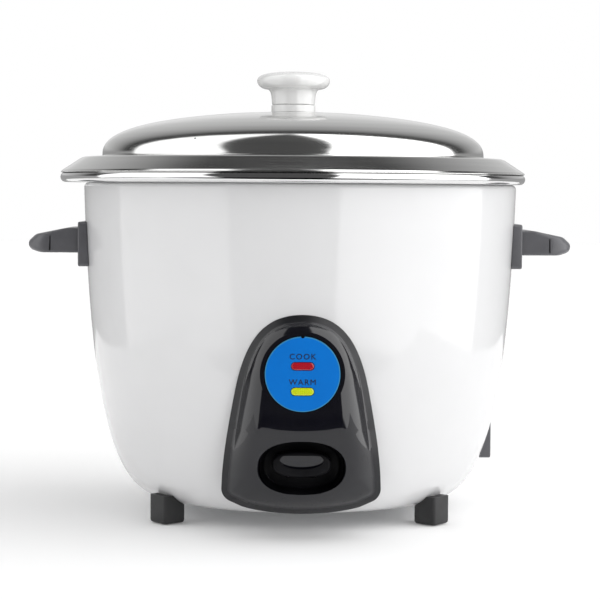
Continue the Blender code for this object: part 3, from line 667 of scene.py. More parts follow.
def make_studio():
    """Two large softboxes with a dark gap between them, a pale wall behind and a white backdrop."""
    world = bpy.data.worlds.new("studio")
    bpy.context.scene.world = world
    world.use_nodes = True
    tree = world.node_tree
    tree.nodes.clear()

    def node(kind, **settings):
        made = tree.nodes.new(kind)
        for key, value in settings.items():
            setattr(made, key, value)
        return made

    def maths(operation, *values):
        made = node("ShaderNodeMath", operation=operation)
        for socket, value in zip(made.inputs, values):
            if isinstance(value, (int, float)):
                socket.default_value = value
            else:
                tree.links.new(value, socket)
        return made.outputs[0]

    def rise(value, middle, soft):
        """0 below the middle and 1 above it, across a soft edge."""
        made = node("ShaderNodeMapRange", interpolation_type="SMOOTHSTEP")
        made.inputs["From Min"].default_value = middle - soft
        made.inputs["From Max"].default_value = middle + soft
        tree.links.new(value, made.inputs["Value"])
        return made.outputs["Result"]

    def fill(x):
        """Soft light on matt surfaces: weakest from the front, most from the right."""
        left = maths("MULTIPLY", rise(maths("MULTIPLY", x, -1.0), 0.65, 0.35), FILL_LEFT)
        right = maths("MULTIPLY", rise(x, 0.35, 0.45), FILL_RIGHT)
        return maths("ADD", maths("ADD", left, right), FILL_MIDDLE)

    def mixed(first, second, share):
        """The first value where the share is 0 and the second where it is 1."""
        kept = maths("MULTIPLY", first, maths("SUBTRACT", 1.0, share))
        return maths("ADD", kept, maths("MULTIPLY", share, second))

    parts = node("ShaderNodeSeparateXYZ")
    tree.links.new(node("ShaderNodeTexCoord").outputs["Generated"], parts.inputs[0])
    x, y, z = parts.outputs
    leaning = maths("SUBTRACT", maths("MULTIPLY", y, 0.827), maths("MULTIPLY", z, 0.298))
    left_edge = maths("SUBTRACT", leaning, x)
    right_edge = maths("ADD", maths("MULTIPLY", y, 0.364), maths("SUBTRACT", x, maths("MULTIPLY", z, 0.128)))
    left = maths("MULTIPLY", rise(left_edge, 0.0, 0.05), LEFT_BOX)
    right = maths("MULTIPLY", rise(right_edge, 0.0, 0.04), RIGHT_BOX)
    boxes = maths("ADD", maths("MAXIMUM", left, right), STUDIO_GAP)
    boxes = maths("MULTIPLY", boxes, maths("ADD", maths("MULTIPLY", rise(z, -0.27, 0.02), 0.98), 0.02))
    back = node("ShaderNodeValToRGB")
    steps = back.color_ramp.elements
    for place, level in BACK_STEPS[1:-1]:
        steps.new(place).color = (level, level, level, 1.0)
    for end in (0, -1):
        place, level = BACK_STEPS[end]
        steps[end].position = place
        steps[end].color = (level, level, level, 1.0)
    tree.links.new(y, back.inputs["Fac"])
    behind = rise(y, 0.33, 0.03)
    low_wall = maths("SUBTRACT", 1.0, rise(z, 0.08, 0.05))
    light = mixed(boxes, mixed(back.outputs["Color"], LOW_WALL, low_wall), behind)
    path = node("ShaderNodeLightPath").outputs
    light = mixed(light, fill(x), path["Is Diffuse Ray"])
    light = mixed(light, 1.0, path["Is Camera Ray"])
    background = node("ShaderNodeBackground")
    background.inputs["Color"].default_value = (1.0, 1.0, 1.0, 1.0)
    tree.links.new(light, background.inputs["Strength"])
    tree.links.new(background.outputs[0], node("ShaderNodeOutputWorld").inputs["Surface"])


def make_floor():
    """A wide pale floor, and the smaller table top that the gloss reflects."""
    finish = Finish("pale_floor", (0.94, 0.94, 0.94), 0.8, Specular_IOR_Level=0.1, Emission_Strength=0.07,
                    Emission_Color=(1.0, 1.0, 1.0, 1.0))
    finish.tint(finish.between(finish.noise(3.0), 0.3, 0.8), (0.925, 0.925, 0.925))
    for name, low, high, height in (("floor", (-6000, -6000), (6000, 6000), -0.6),
                                    ("table_top", (-600, -320), (600, 900), -0.3)):
        work = bmesh.new()
        work.faces.new([work.verts.new((*corner, height)) for corner in rectangle(low, high)])
        plane = finished(name, work)
        plane.data.materials.append(finish.material)
        plane.visible_glossy = name == "table_top"
        plane.visible_camera = name == "floor"
        plane.visible_diffuse = name == "floor"
        plane.visible_shadow = name == "floor"


# Drum: shell, liner and base plate.

def shell_side():
    """The shell's outer side, from the shoulder down to the foot ring."""
    return list(reversed(bezier(SHELL_CURVE, 72)))


def make_envelope(name="envelope"):
    """The space the shell takes, with a gap, to shape what is fixed on it."""
    side = offset(shell_side(), GAP)
    return turned(name, [(0, SHELL_TOP + 5), (side[0][0], SHELL_TOP + 5)] + side + [(0, side[-1][1])])


def make_shell(finish):
    side = shell_side()
    bend = (SHELL_HIGH.x - SHOULDER_R, SHELL_TOP - SHOULDER_R)
    rim = [(LIP_R, SHELL_TOP - 0.3), (LIP_R + 0.3, SHELL_TOP)]
    outside = rim + arc(bend, SHOULDER_R, 90, 4, 12) + side + [(FLANGE_R, SHELL_CURVE[0][1])]
    inside = [(FLANGE_R, SHELL_CURVE[0][1] + SHELL_WALL)] + list(reversed(offset(side, -SHELL_WALL)))
    inside += arc(bend, SHOULDER_R - SHELL_WALL, 4, 90, 8) + [(LIP_R, SHELL_TOP - SHELL_WALL)]
    shell = turned("outer_shell_fine", outside + inside)
    half_y, half_z = INLET_HOLE_HALF
    lever_slot = block("lever_slot", (-LEVER_SLOT_HALF, -130, LEVER_SLOT_LOW),
                       (LEVER_SLOT_HALF, -100, LEVER_SLOT_HIGH))
    inlet_hole = block("inlet_hole", (100, INLET_Y - half_y, INLET_Z - half_z),
                       (130, INLET_Y + half_y, INLET_Z + half_z))
    cut(shell, lever_slot, inlet_hole)
    return hand_over(shell, "base", ["outer_shell"], finish)


LINER_WALL = 0.7


def make_liner(finish):
    """The heat shield: a lipped can with a step that seats the heating plate."""
    top = cad("inner_liner")[1].z
    side = rounded([(129.6, top), (129.6, top - 0.8), (126.2, top - 0.8, 1.0), (126.2, 186, 4),
                    (124.4, 165, 60), (120.2, 101, 80), (118, 68, 10), (112, 55.0, 8), (96, 55, 3),
                    (92, 57.5, 3), (84, 57.5, 3), (80, 55, 3), (68, 55)])
    floor_turn = [(r, z + LINER_WALL) for r, z in side if z < 60]
    inner = [(r - LINER_WALL, z + 0.5 * LINER_WALL) for r, z in side[2:] if z >= 60]
    profile = side + list(reversed(inner + floor_turn)) + [(125.5, top)]
    liner = turned("inner_liner_fine", profile)
    return hand_over(liner, "base", ["inner_liner"], finish)


def make_base_plate(finish):
    """The closing plate, with a pressed dish, a stiffening ring and rows of cooling slots."""
    low, high = cad("base_plate")
    under = rounded([(0, low.z + 0.9), (20, low.z + 0.9, 2), (22, low.z - 0.6, 1), (26, low.z - 0.6, 1),
                     (28, low.z + 0.3, 1), (60, low.z + 0.3, 1), (62, low.z - 0.8, 1), (66, low.z - 0.8, 1),
                     (68, low.z, 1), (high.x, low.z)])
    profile = under + [(high.x, low.z + 0.8)] + [(r, z + 0.8) for r, z in reversed(under[:-1])]
    plate = turned("base_plate_fine", profile)
    slots = []
    for turn in range(12):
        slot = block(f"cooling_slot_{turn}", (-1.6, 34, low.z - 5), (1.6, 54, low.z + 5), corner=1.5)
        slot.data.transform(Matrix.Rotation(math.radians(30 * turn + 15), 4, "Z"))
        slots.append(slot)
    cut(plate, *slots)
    return hand_over(plate, "base", ["base_plate"], finish)


def cross_recess(name, place, depth, size=3.4):
    """Two crossed wedges that sink a driver's cross into a screw head facing down."""
    wedges = []
    for turn in (0, 90):
        wedge = block(f"{name}_{turn}", (-size / 2, -0.45, -1), (size / 2, 0.45, depth))
        wedge.data.transform(Matrix.Rotation(math.radians(turn + 20), 4, "Z"))
        wedge.data.transform(Matrix.Translation(Vector(place) * MM))
        wedges.append(wedge)
    return wedges


FOOT_HALF = 7.5
FOOT_CORNER_R = 1.3
FOOT_TALL = 16.5
FOOT_RINGS = ((0.0, 1.0), (0.3, 0.5), (0.9, 0.15), (1.6, 0.0), (FOOT_TALL, 0.0))
FOOT_WAY = ((0, -3), (4.6, -3), (3.8, 0.8, 0.4), (3.8, 5.0, 0.4), (2.0, 5.0), (2.0, 30), (0, 30))
FOOT_SCREW_LOW = 2.6
FOOT_SCREW = ((0, FOOT_SCREW_LOW), (2.2, FOOT_SCREW_LOW, 3), (3.2, 3.6, 0.8), (3.2, 4.7, 0.2), (1.6, 4.7, 0.2),
              (1.6, 17.5, 0.3), (0, 17.5))


def make_feet(finish, steel):
    """Four square feet, each turned to face the axis, with the screws that hold them."""
    for number in range(1, 5):
        low, high = cad(f"foot_{number}")
        middle = (low + high) / 2
        rings = []
        for height, inset in FOOT_RINGS:
            reach = FOOT_HALF - inset
            square = round_rectangle((-reach, -reach), (reach, reach), FOOT_CORNER_R)
            rings.append([(u, v, height) for u, v in square])
        foot = loft(f"foot_{number}_fine", rings)
        foot.data.transform(Matrix.Rotation(math.atan2(middle.y, middle.x), 4, "Z"))
        foot.data.transform(Matrix.Translation((middle.x * MM, middle.y * MM, 0)))
        way = turned(f"foot_way_{number}", rounded(FOOT_WAY), (middle.x, middle.y), SMALL_STEPS)
        cut(foot, make_envelope(), way)
        hand_over(foot, "base", [f"foot_{number}"], finish)
        screw = turned(f"foot_screw_{number}_fine", rounded(FOOT_SCREW), (middle.x, middle.y), SMALL_STEPS)
        cut(screw, *cross_recess(f"recess_{number}", (middle.x, middle.y, FOOT_SCREW_LOW), 1.4))
        hand_over(screw, "base", [f"foot_screw_{number}"], steel)


# Handles.

GRIP_PROFILE = ((130.0, 157.2), (159.6, 157.3, 8.0), (164.9, 159.2, 4.0), (166.1, 163.6, 4.5),
                (161.0, 168.3, 6.0), (142.0, 172.2, 20.0), (130.0, 172.0))
GRIP_HALF = 25.0
GRIP_TIP_R = 13.0
GRIP_EDGE_R = 1.6
GRIP_END = 166.1
GRIP_MIDDLE = 140.0
PARTING_Z = 161.4
SEAM = 0.7
PLATE_LOW = (-28.0, 149.0)
PLATE_HIGH = (28.0, 176.0)
PLATE_FRONT = 134.4
FINGER_ROOM = ((138.6, -22.0, 150.0), (161.8, 22.0, 164.3))


def make_grip(name, inset=0.0, count=24):
    """The grip as slices from front to back, each with its edges rounded and its tip drawn in."""
    outline = rounded(GRIP_PROFILE, closed=True, count=8)
    half = GRIP_HALF - inset
    slices = []
    for k in range(-count, count + 1):
        y = half * math.sin(math.pi / 2 * k / count)
        past_corner = max(0.0, abs(y) - (half - GRIP_TIP_R))
        end = GRIP_END - GRIP_TIP_R + math.sqrt(max(GRIP_TIP_R ** 2 - past_corner ** 2, 0.0))
        past_edge = max(0.0, abs(y) - (half - GRIP_EDGE_R))
        shrink = inset + GRIP_EDGE_R - math.sqrt(max(GRIP_EDGE_R ** 2 - past_edge ** 2, 0.0))
        pull = (GRIP_END - end) / (GRIP_END - GRIP_MIDDLE) ** 2
        ring = [(x - pull * max(0.0, x - GRIP_MIDDLE) ** 2, z) for x, z in outline]
        slices.append([(x, y, z) for x, z in offset(ring, shrink, closed=True)])
    return loft(name, slices, 38.0)


def make_handle(side, sign, finish):
    """A grip on a screwed plate, with a seam round its edge and a hollow for the fingers."""
    seam = block("seam", (120, -30, PARTING_Z - SEAM / 2), (175, 30, PARTING_Z + SEAM / 2))
    cut(seam, make_grip("seam_core", SEAM))
    grip = cut(make_grip(f"handle_{side}_fine"), seam, angle=38.0)
    plate = prism("plate", round_rectangle(PLATE_LOW, PLATE_HIGH, 2.2), "X", 120, PLATE_FRONT, 0.9)
    lift = block("finger_room", *FINGER_ROOM, corner=9.5, bevel=1.2)
    handle = cut(join(grip, plate, angle=38.0), lift, angle=38.0)
    if sign < 0:
        handle.data.transform(Matrix.Scale(-1, 4, (1, 0, 0)))
        handle.data.flip_normals()
    cut(handle, make_envelope(), angle=38.0)
    return hand_over(handle, "base", [f"handle_{side}"], finish)


# Control panel, its disc, lamps and paddle.

OUTLINE_POINTS = 320
PANEL_RINGS = (0.0, 0.4, 1.2, 2.2, 3.1, 3.5, 3.9, 4.3, 4.8, 5.4, *range(6, 17), 17.2, PANEL_LAST)
CROWN_RINGS = 30
PANEL_CORNER_R = 8.0
POCKET_HALF = (24.2, 15.4)
POCKET_POWER = 2.35


def panel_outline(inset=0.0, corner_r=PANEL_CORNER_R):
    """The arch seen from the front, with a bowed lower edge and round lower corners."""
    top = PANEL_TOP - inset
    waist = (PANEL_WAIST[0] - inset, PANEL_WAIST[1])
    foot = (PANEL_FOOT[0] - inset, PANEL_FOOT[1] + inset)
    bottom = PANEL_BOTTOM + inset
    crown = bezier(((0.0, top), (23.0 - inset / 2, top), (waist[0] - 5.1, 110.0 - inset), waist), 90)
    side = bezier((waist, (waist[0] + 3.8, 63.0), (foot[0] - 0.5, 45.0), foot), 40)
    below = bezier((foot, (foot[0] - 17, bottom), (17 - foot[0], bottom), (-foot[0], foot[1])), 40)
    corner = rounded([side[-9], (*foot, corner_r), below[7]], count=16)
    right = crown + side[1:-9] + corner
    left = [(-x, z) for x, z in reversed(right)]
    return resampled(list(reversed(right + below[8:-8] + left[:-1])), OUTLINE_POINTS)


def inset_ring(outline, inset, last=PANEL_LAST, even=6.0):
    """The outline moved in evenly at first and then towards the flat crown's own outline."""
    if inset <= even:
        return offset(outline, inset, closed=True)
    share = (inset - even) / (last - even)
    pairs = zip(offset(outline, even, closed=True), panel_outline(last, 3.0))
    return [(a[0] + (b[0] - a[0]) * share, a[1] + (b[1] - a[1]) * share) for a, b in pairs]


def skin_y(x, z):
    """The panel's front surface over a point of its front view: flatter across at the top."""
    across = 300.0 + 500.0 * ramp(z, 35.0, 75.0)
    return -reach_at(PANEL_SIDE, z) + x * x / across


def panel_drop(inset, z):
    """How far the surface falls back at a distance in from the outline: less, and wider, low down."""
    low = ramp(z, 112.0, 56.0)
    low = low * low * (3 - 2 * low)
    depth = 0.42 + 0.58 * ramp(z, 22.0, 62.0)
    rim = PANEL_RIM + 1.0 * low
    if inset < rim:
        return depth * (PANEL_DROP - PANEL_RIM_DROP * inset / rim)
    left = max(0.0, 1 - (inset - rim) / (PANEL_ROLL + 3.0 * low))
    return depth * (PANEL_DROP - PANEL_RIM_DROP) * left ** PANEL_ROLL_POWER


def shell_y(x, z):
    reach = reach_at(SHELL_CURVE, z)
    return -math.sqrt(max(reach * reach - x * x, 1.0))


def panel_skin(outline):
    """The panel's front with its rim, roll and crown, and a skirt that runs into the drum."""
    room = [min(1.0, max(0.3, (shell_y(x, z) - skin_y(x, z) - 0.5) / PANEL_DROP)) for x, z in outline]
    rings = []
    for inset in PANEL_RINGS:
        ring = inset_ring(outline, inset)
        rings.append([(x, skin_y(x, z) + panel_drop(inset, z) * share, z) for (x, z), share in zip(ring, room)])
    edge = [(p[0], p[2]) for p in rings[-1]]
    for k in range(1, CROWN_RINGS):
        share = 1 - k / CROWN_RINGS
        ring = [(x * share, PANEL_CENTRE_Z + (z - PANEL_CENTRE_Z) * share) for x, z in edge]
        rings.append([(x, skin_y(x, z), z) for x, z in ring])
    skirt = [(x, shell_y(x, z) + 6.0, z) for x, z in outline]
    work = bmesh.new()
    made = [[work.verts.new(point) for point in ring] for ring in [skirt] + rings]
    for lower, upper in zip(made, made[1:]):
        for i in range(OUTLINE_POINTS):
            j = (i + 1) % OUTLINE_POINTS
            work.faces.new((lower[i], lower[j], upper[j], upper[i]))
    tip = work.verts.new((0.0, skin_y(0.0, PANEL_CENTRE_Z), PANEL_CENTRE_Z))
    for i in range(OUTLINE_POINTS):
        work.faces.new((made[-1][i], made[-1][(i + 1) % OUTLINE_POINTS], tip))
    panel = finished("control_panel_fine", work)
    if panel.data.polygons[-1].normal.y > 0:
        panel.data.flip_normals()
    wall = panel.modifiers.new("Wall", "SOLIDIFY")
    wall.thickness = PANEL_WALL * MM
    wall.offset = -1.0
    return combine(panel, "UNION")


def in_pocket(x, z):
    across = (abs(x) / (POCKET_HALF[0] + 0.1)) ** POCKET_POWER
    up = (abs(z - POCKET_Z) / (POCKET_HALF[1] + 0.1)) ** POCKET_POWER
    return across + up < 1.0


def paint_panel(panel, outline, rim_finish, pocket_finish):
    """Gives the band along the outline and the walls of the pocket their own finishes."""
    panel.data.materials.append(rim_finish)
    panel.data.materials.append(pocket_finish)
    edges = KDTree(OUTLINE_POINTS)
    for i, (x, z) in enumerate(outline):
        edges.insert((x, 0.0, z), i)
    edges.balance()
    for face in panel.data.polygons:
        centre = face.center / MM
        if edges.find((centre.x, 0.0, centre.z))[2] < PANEL_RIM + 0.08:
            face.material_index = 1
        elif in_pocket(centre.x, centre.z) and centre.y > skin_y(centre.x, centre.z) + 0.6:
            face.material_index = 2


def make_panel(finish, rim_finish, pocket_finish):
    outline = panel_outline()
    panel = panel_skin(outline)
    boss = prism("pocket_boss", oval(23.4, 15.2, 2.4, 96, (0, POCKET_Z)), "Y", skin_y(0, POCKET_Z) + 6, -103)
    seat_boss = rod("disc_boss", DISC_R + 2.6, "Y", (0, DISC_Z), -138.2, -134.4)
    join(panel, boss, seat_boss)
    seat_profile = rounded([(0, 137.0), (DISC_R + 0.4, 137.0), (DISC_R + 0.4, 138.7, 0.3),
                            (DISC_R + 0.9, 139.3, 0.4), (DISC_R + 0.9, 145), (0, 145)])
    seat = turned("disc_seat", seat_profile, steps=160)
    seat.data.transform(Matrix.Translation((0, 0, DISC_Z * MM)) @ Matrix.Rotation(math.pi / 2, 4, "X"))
    ways = [prism(f"lamp_way_{name}", lamp_outline(low, high, GAP), "Y", -145, -125)
            for name, (low, high) in LAMPS.items()]
    lever_way = block("lever_way", (0.4 - LEVER_SLOT_HALF, -125, LEVER_SLOT_LOW),
                      (LEVER_SLOT_HALF - 0.4, -100, LEVER_SLOT_HIGH))
    cut(panel, seat, pocket_cutter(), make_envelope(), lever_way, *ways)
    hand_over(panel, "base", ["control_panel"], finish)
    paint_panel(panel, outline, rim_finish, pocket_finish)
    return panel


def pocket_back_y(z):
    """The pocket's floor, which leans with the drum behind it."""
    return -120.4 + (58.0 - z) * 0.22


def pocket_cutter():
    """A squared oval with a small round at its mouth, steep walls and a leaning floor."""
    rings = []
    for outset, share in ((0.55, -0.8), (0.55, -0.02), (0.4, 0.0), (0.15, 0.02), (0.0, 0.06), (-0.3, 0.2),
                          (-0.7, 0.4), (-1.2, 0.6), (-1.9, 0.8), (-2.6, 0.93), (-3.0, 0.97), (-3.8, 1.0)):
        ring = oval(POCKET_HALF[0] + outset, POCKET_HALF[1] + outset * 0.57, POCKET_POWER, 128, (0, POCKET_Z))
        rings.append([(x, skin_y(x, z) * (1 - share) + pocket_back_y(z) * share, z) for x, z in ring])
    return loft("pocket", rings)


def lamp_outline(low, high, outset=0.0):
    middle = (low + high) / 2
    half = (high.z - low.z) / 2 + outset
    reach = (high.x - low.x) / 2 - (high.z - low.z) / 2
    return arc((reach, middle.z), half, -90, 90, 16) + arc((-reach, middle.z), half, 90, 270, 16)


def make_word(name, word, rise, finish):
    """A raised word on the disc, a distance above the disc's middle."""
    text = bpy.data.curves.new(f"word_{name}", "FONT")
    text.body = word
    text.size = 4.4 * MM
    text.space_character = 1.22
    text.extrude = 0.06 * MM
    text.bevel_depth = 0.035 * MM
    text.bevel_resolution = 0
    text.align_x = "CENTER"
    text.resolution_u = 6
    guide = bpy.data.objects.new(f"word_{name}", text)
    bpy.context.scene.collection.objects.link(guide)
    bpy.context.view_layer.update()
    mesh = bpy.data.meshes.new_from_object(guide.evaluated_get(bpy.context.evaluated_depsgraph_get()))
    bpy.data.objects.remove(guide)
    place = Matrix.Translation((0, (DISC_LOW.y - 0.03) * MM, (DISC_Z + rise - 1.6) * MM))
    mesh.transform(place @ Matrix.Rotation(math.pi / 2, 4, "X"))
    item = bpy.data.objects.new(f"word_{name}", mesh)
    bpy.context.scene.collection.objects.link(item)
    return hand_over(item, "base", [], finish)


def make_disc(finish, ink):
    radius = DISC_R - 0.1
    back, front = -DISC_HIGH.y, -DISC_LOW.y
    profile = rounded([(0, back), (radius, back, 0.1), (radius, front, 0.5), (0, front)])
    disc = turned("indicator_disc_fine", profile, steps=160)
    disc.data.transform(Matrix.Translation((0, 0, DISC_Z * MM)) @ Matrix.Rotation(math.pi / 2, 4, "X"))
    notch = rod("notch", 1.1, "Y", (0, DISC_Z + DISC_R), -145, -130)
    ways = [prism(f"way_{name}", lamp_outline(low, high, GAP), "Y", -145, -130)
            for name, (low, high) in LAMPS.items()]
    cut(disc, notch, *ways)
    hand_over(disc, "base", ["indicator_disc"], finish)
    make_word("cook", "COOK", 9.9, ink)
    make_word("warm", "WARM", -4.2, ink)


def make_lenses(finishes):
    for name, (low, high) in LAMPS.items():
        lens = prism(f"lamp_lens_{name}_fine", lamp_outline(low, high), "Y", low.y, high.y, 0.7)
        hand_over(lens, "base", [f"lamp_lens_{name}"], finishes[name])


def leaning_cut(name, outline, front, top):
    """A recess with a flat floor that starts at the face and leans back towards its lower edge."""
    mouth = [(x, front - 4.0, z) for x, z in outline]
    return loft(name, [mouth, [(x, front + 0.25 * (top - z), z) for x, z in outline]])


PADDLE_BEVEL = ((1.6, 0.0), (0.9, 0.2), (0.35, 0.65), (0.08, 1.2), (0.0, 1.9))
FACET_HALF = (12.2, 4.8)
FACET_UP = 2.2
NICK_HALF = 7.8
NICK_DOWN = (6.5, 5.8)
SHINY_AREA = 2.0


def make_paddle(finish, body_finish):
    """A squared oval block with a shiny leaning thumb facet and a slot that grips the lever."""
    half_x, half_z = (PADDLE_HIGH.x - PADDLE_LOW.x) / 2, (PADDLE_HIGH.z - PADDLE_LOW.z) / 2
    front, back = PADDLE_LOW.y, PADDLE_HIGH.y
    levels = [(back, 0.4), (back - 0.4, 0.0)]
    levels += [(front + deep, inset) for deep, inset in PADDLE_BEVEL]
    rings = []
    for depth, inset in levels:
        rings.append([(x, depth, z) for x, z in oval(half_x - inset, half_z - inset, 2.5, 112, (0, PADDLE_Z))])
    paddle = loft("lever_paddle_fine", rings)
    thumb = oval(*FACET_HALF, 2.0, 96, (0, PADDLE_Z + FACET_UP))
    facet = leaning_cut("thumb_facet", thumb, front, PADDLE_Z + 5.0)
    nick_low, nick_top = [PADDLE_Z - down for down in NICK_DOWN]
    nick = leaning_cut("lower_nick", rectangle((-NICK_HALF, nick_low), (NICK_HALF, nick_top)), front, nick_top)
    low, high = cad("lever_arm")
    slot = block("paddle_slot", (-7.3, low.y - GAP, high.z - 2.4), (7.3, -115, high.z + 0.3))
    cut(paddle, facet, nick, slot, angle=28.0)
    hand_over(paddle, "switch", ["lever_paddle"], finish)
    paddle.data.materials.append(body_finish)
    for face in paddle.data.polygons:
        leans = 0.1 < abs(face.normal.z) < 0.9 and abs(face.normal.x) < 0.05
        face.material_index = 0 if leans and face.area > SHINY_AREA * MM ** 2 else 1
    return paddle


# Mains inlet.

INLET_MOUTH = ((-12.0, -8.2, 1.2), (12.0, -8.2, 1.2), (12.0, 4.2, 1.0), (8.0, 8.2, 1.0), (-8.0, 8.2, 1.0),
               (-12.0, 4.2, 1.0))


def inlet_mouth(wider=0.0, taller=0.0):
    """The connector's opening, with its two upper corners cut off, larger by two shares."""
    return rounded([(INLET_Y + y * (1 + wider), INLET_Z + z * (1 + taller), r) for y, z, r in INLET_MOUTH],
                   closed=True)


def make_inlet(plastic, brass):
    """A socket with a stepped mouth and three flat pins."""
    low, high = INLET_LOW, INLET_HIGH
    bezel = prism("inlet_socket_fine", round_rectangle(low.yz, high.yz, 2.4), "X", 107, high.x, 0.8)
    cut(bezel, make_envelope())
    back = round_rectangle((low.y + 2.5, INLET_Z - 9.5), (high.y - 2.5, INLET_Z + 9.5), 1.5)
    join(bezel, prism("inlet_body", back, "X", low.x, high.x - 1.2))
    well = prism("inlet_well", inlet_mouth(), "X", 104, 130)
    step = prism("inlet_step", inlet_mouth(0.06, 0.09), "X", high.x - 1.0, 130)
    ways = []
    for name in ("line", "neutral", "earth"):
        pin_low, pin_high = cad(f"inlet_pin_{name}")
        ways.append(block(f"pin_way_{name}", (80, pin_low.y - GAP, pin_low.z - GAP),
                          (110, pin_high.y + GAP, pin_high.z + GAP)))
        outline = rectangle(pin_low.yz, pin_high.yz)
        pin = prism(f"inlet_pin_{name}_fine", outline, "X", pin_low.x, pin_high.x, 0.45)
        hand_over(pin, "base", [f"inlet_pin_{name}"], brass)
    cut(bezel, well, step, *ways)
    return hand_over(bezel, "base", ["inlet_socket"], plastic)


# Pot.

POT_BOTTOM = POT_LOW.z
POT_FLANGE_Z = POT_HIGH.z - 2 * BEAD_R + 1.3
POT_SIDE_R = 113.6
POT_MOUTH_R = 119.8
POT_FLARE_Z = 150.0
MARK_STEP = 14.0
MARK_DEEP = 0.75
MARK_PARTS = 8


def make_pot(finish, bright):
    """The pot with its flange and rolled rim."""
    rim = BEAD_CENTRE
    outer = [(rim[0] - 3.0, POT_FLANGE_Z), (POT_MOUTH_R, POT_FLANGE_Z, 2.0), (POT_SIDE_R, POT_FLARE_Z, 200),
             (POT_SIDE_R, POT_BOTTOM, 28), (74, POT_BOTTOM, 2), (72, POT_BOTTOM + 0.5, 2),
             (0, POT_BOTTOM + 0.5)]
    wall = rounded(outer, count=16)
    inner = offset(wall, -POT_WALL)
    inner[0] = (rim[0] - 2.6, POT_FLANGE_Z + POT_WALL)
    inner[-1] = (0, POT_BOTTOM + 0.5 + POT_WALL)
    start = math.degrees(math.asin((inner[0][1] - rim[1]) / BEAD_R))
    bead = arc(rim, BEAD_R, 180 - start, -136, 40)
    profile = list(reversed(inner)) + bead[1:] + wall
    pot = turned("inner_pot_fine", profile, (POT_X, 0.0))
    hand_over(pot, "pot", ["inner_pot"], finish)
    pot.data.materials.append(bright)
    edge = (POT_MOUTH_R - 1.0) * MM
    for face in pot.data.polygons:
        centre = face.center
        if math.hypot(centre.x - POT_X * MM, centre.y) > edge and centre.z > (POT_FLANGE_Z - 4) * MM:
            face.material_index = 1
    return pot


def make_level_marks(finish):
    """Raised bars up the inside of the pot's back, long and short in turn."""
    flare = (POT_MOUTH_R - POT_SIDE_R) / (POT_FLANGE_Z - POT_FLARE_Z)
    sides = ((0, 1, 3, 2), (4, 5, 7, 6), (0, 1, 5, 4), (2, 3, 7, 6))
    ends = {0: ((0, 2, 6, 4),), MARK_PARTS - 1: ((1, 3, 7, 5),)}
    work = bmesh.new()
    for step in range(1, 7):
        height = POT_BOTTOM + (1 + step) * MARK_STEP
        reach = POT_SIDE_R - POT_WALL + max(0.0, height - POT_FLARE_Z) * flare + 0.35
        half = 9.0 if step % 2 == 0 else 5.5
        for i in range(MARK_PARTS):
            turns = [math.pi / 2 + (k / MARK_PARTS - 0.5) * 2 * half / reach for k in (i, i + 1)]
            places = [(POT_X + (reach - deep) * math.cos(a), (reach - deep) * math.sin(a), height + up)
                      for deep in (0.0, MARK_DEEP) for up in (-0.5, 0.5) for a in turns]
            made = [work.verts.new(place) for place in places]
            for quad in sides + ends.get(i, ()):
                work.faces.new([made[k] for k in quad])
    bmesh.ops.remove_doubles(work, verts=work.verts, dist=0.001)
    level = finished("pot_level_marks", work)
    return hand_over(level, "pot", [], finish)


# Lid, collar, knob and its screw.

def make_lid(finish):
    """A dome and a brim drawn from one sheet, with a locating ring under it and a steam vent."""
    top = LID_HIGH.z
    dome = bezier(LID_DOME, 48)
    seat = rounded([(2.6, top - 0.6), (21.5, top - 0.6, 1.5), (23.2, top - 0.15, 1.5), dome[3]], count=5)
    brim = rounded([dome[-1], (117.0, 215.9, 1.1), (129.0, 215.3, 7.0), (LID_R - 0.9, LID_LOW_EDGE + 0.95, 0.6),
                    (LID_R, LID_LOW_EDGE)], count=10)
    outside = seat[:-1] + dome[3:-1] + brim
    under = list(reversed(offset(outside, -LID_WALL)))
    split = next(i for i, point in enumerate(under) if point[0] < 118.2)
    ring_r = dome[-1][0] - LID_WALL
    ring = [(ring_r + LID_WALL, under[split][1]), (ring_r + LID_WALL, LID_LOW.z + 0.3),
            (ring_r + LID_WALL / 2, LID_LOW.z), (ring_r, LID_LOW.z + 0.3)]
    inside = under[:split] + ring + [p for p in under[split:] if p[1] > 217.5]
    lid = turned("lid_fine", outside + inside, (POT_X, 0.0), 256)
    vent = rod("vent", VENT_R, "Z", (0, 0), -6, 6, 32)
    outward = Vector((VENT_PLACE[0] - POT_X, VENT_PLACE[1], 80.0)).to_track_quat("Z", "Y").to_matrix().to_4x4()
    vent.data.transform(Matrix.Translation(Vector(VENT_PLACE) * MM) @ outward)
    cut(lid, vent)
    return hand_over(lid, "lid", ["lid"], finish)


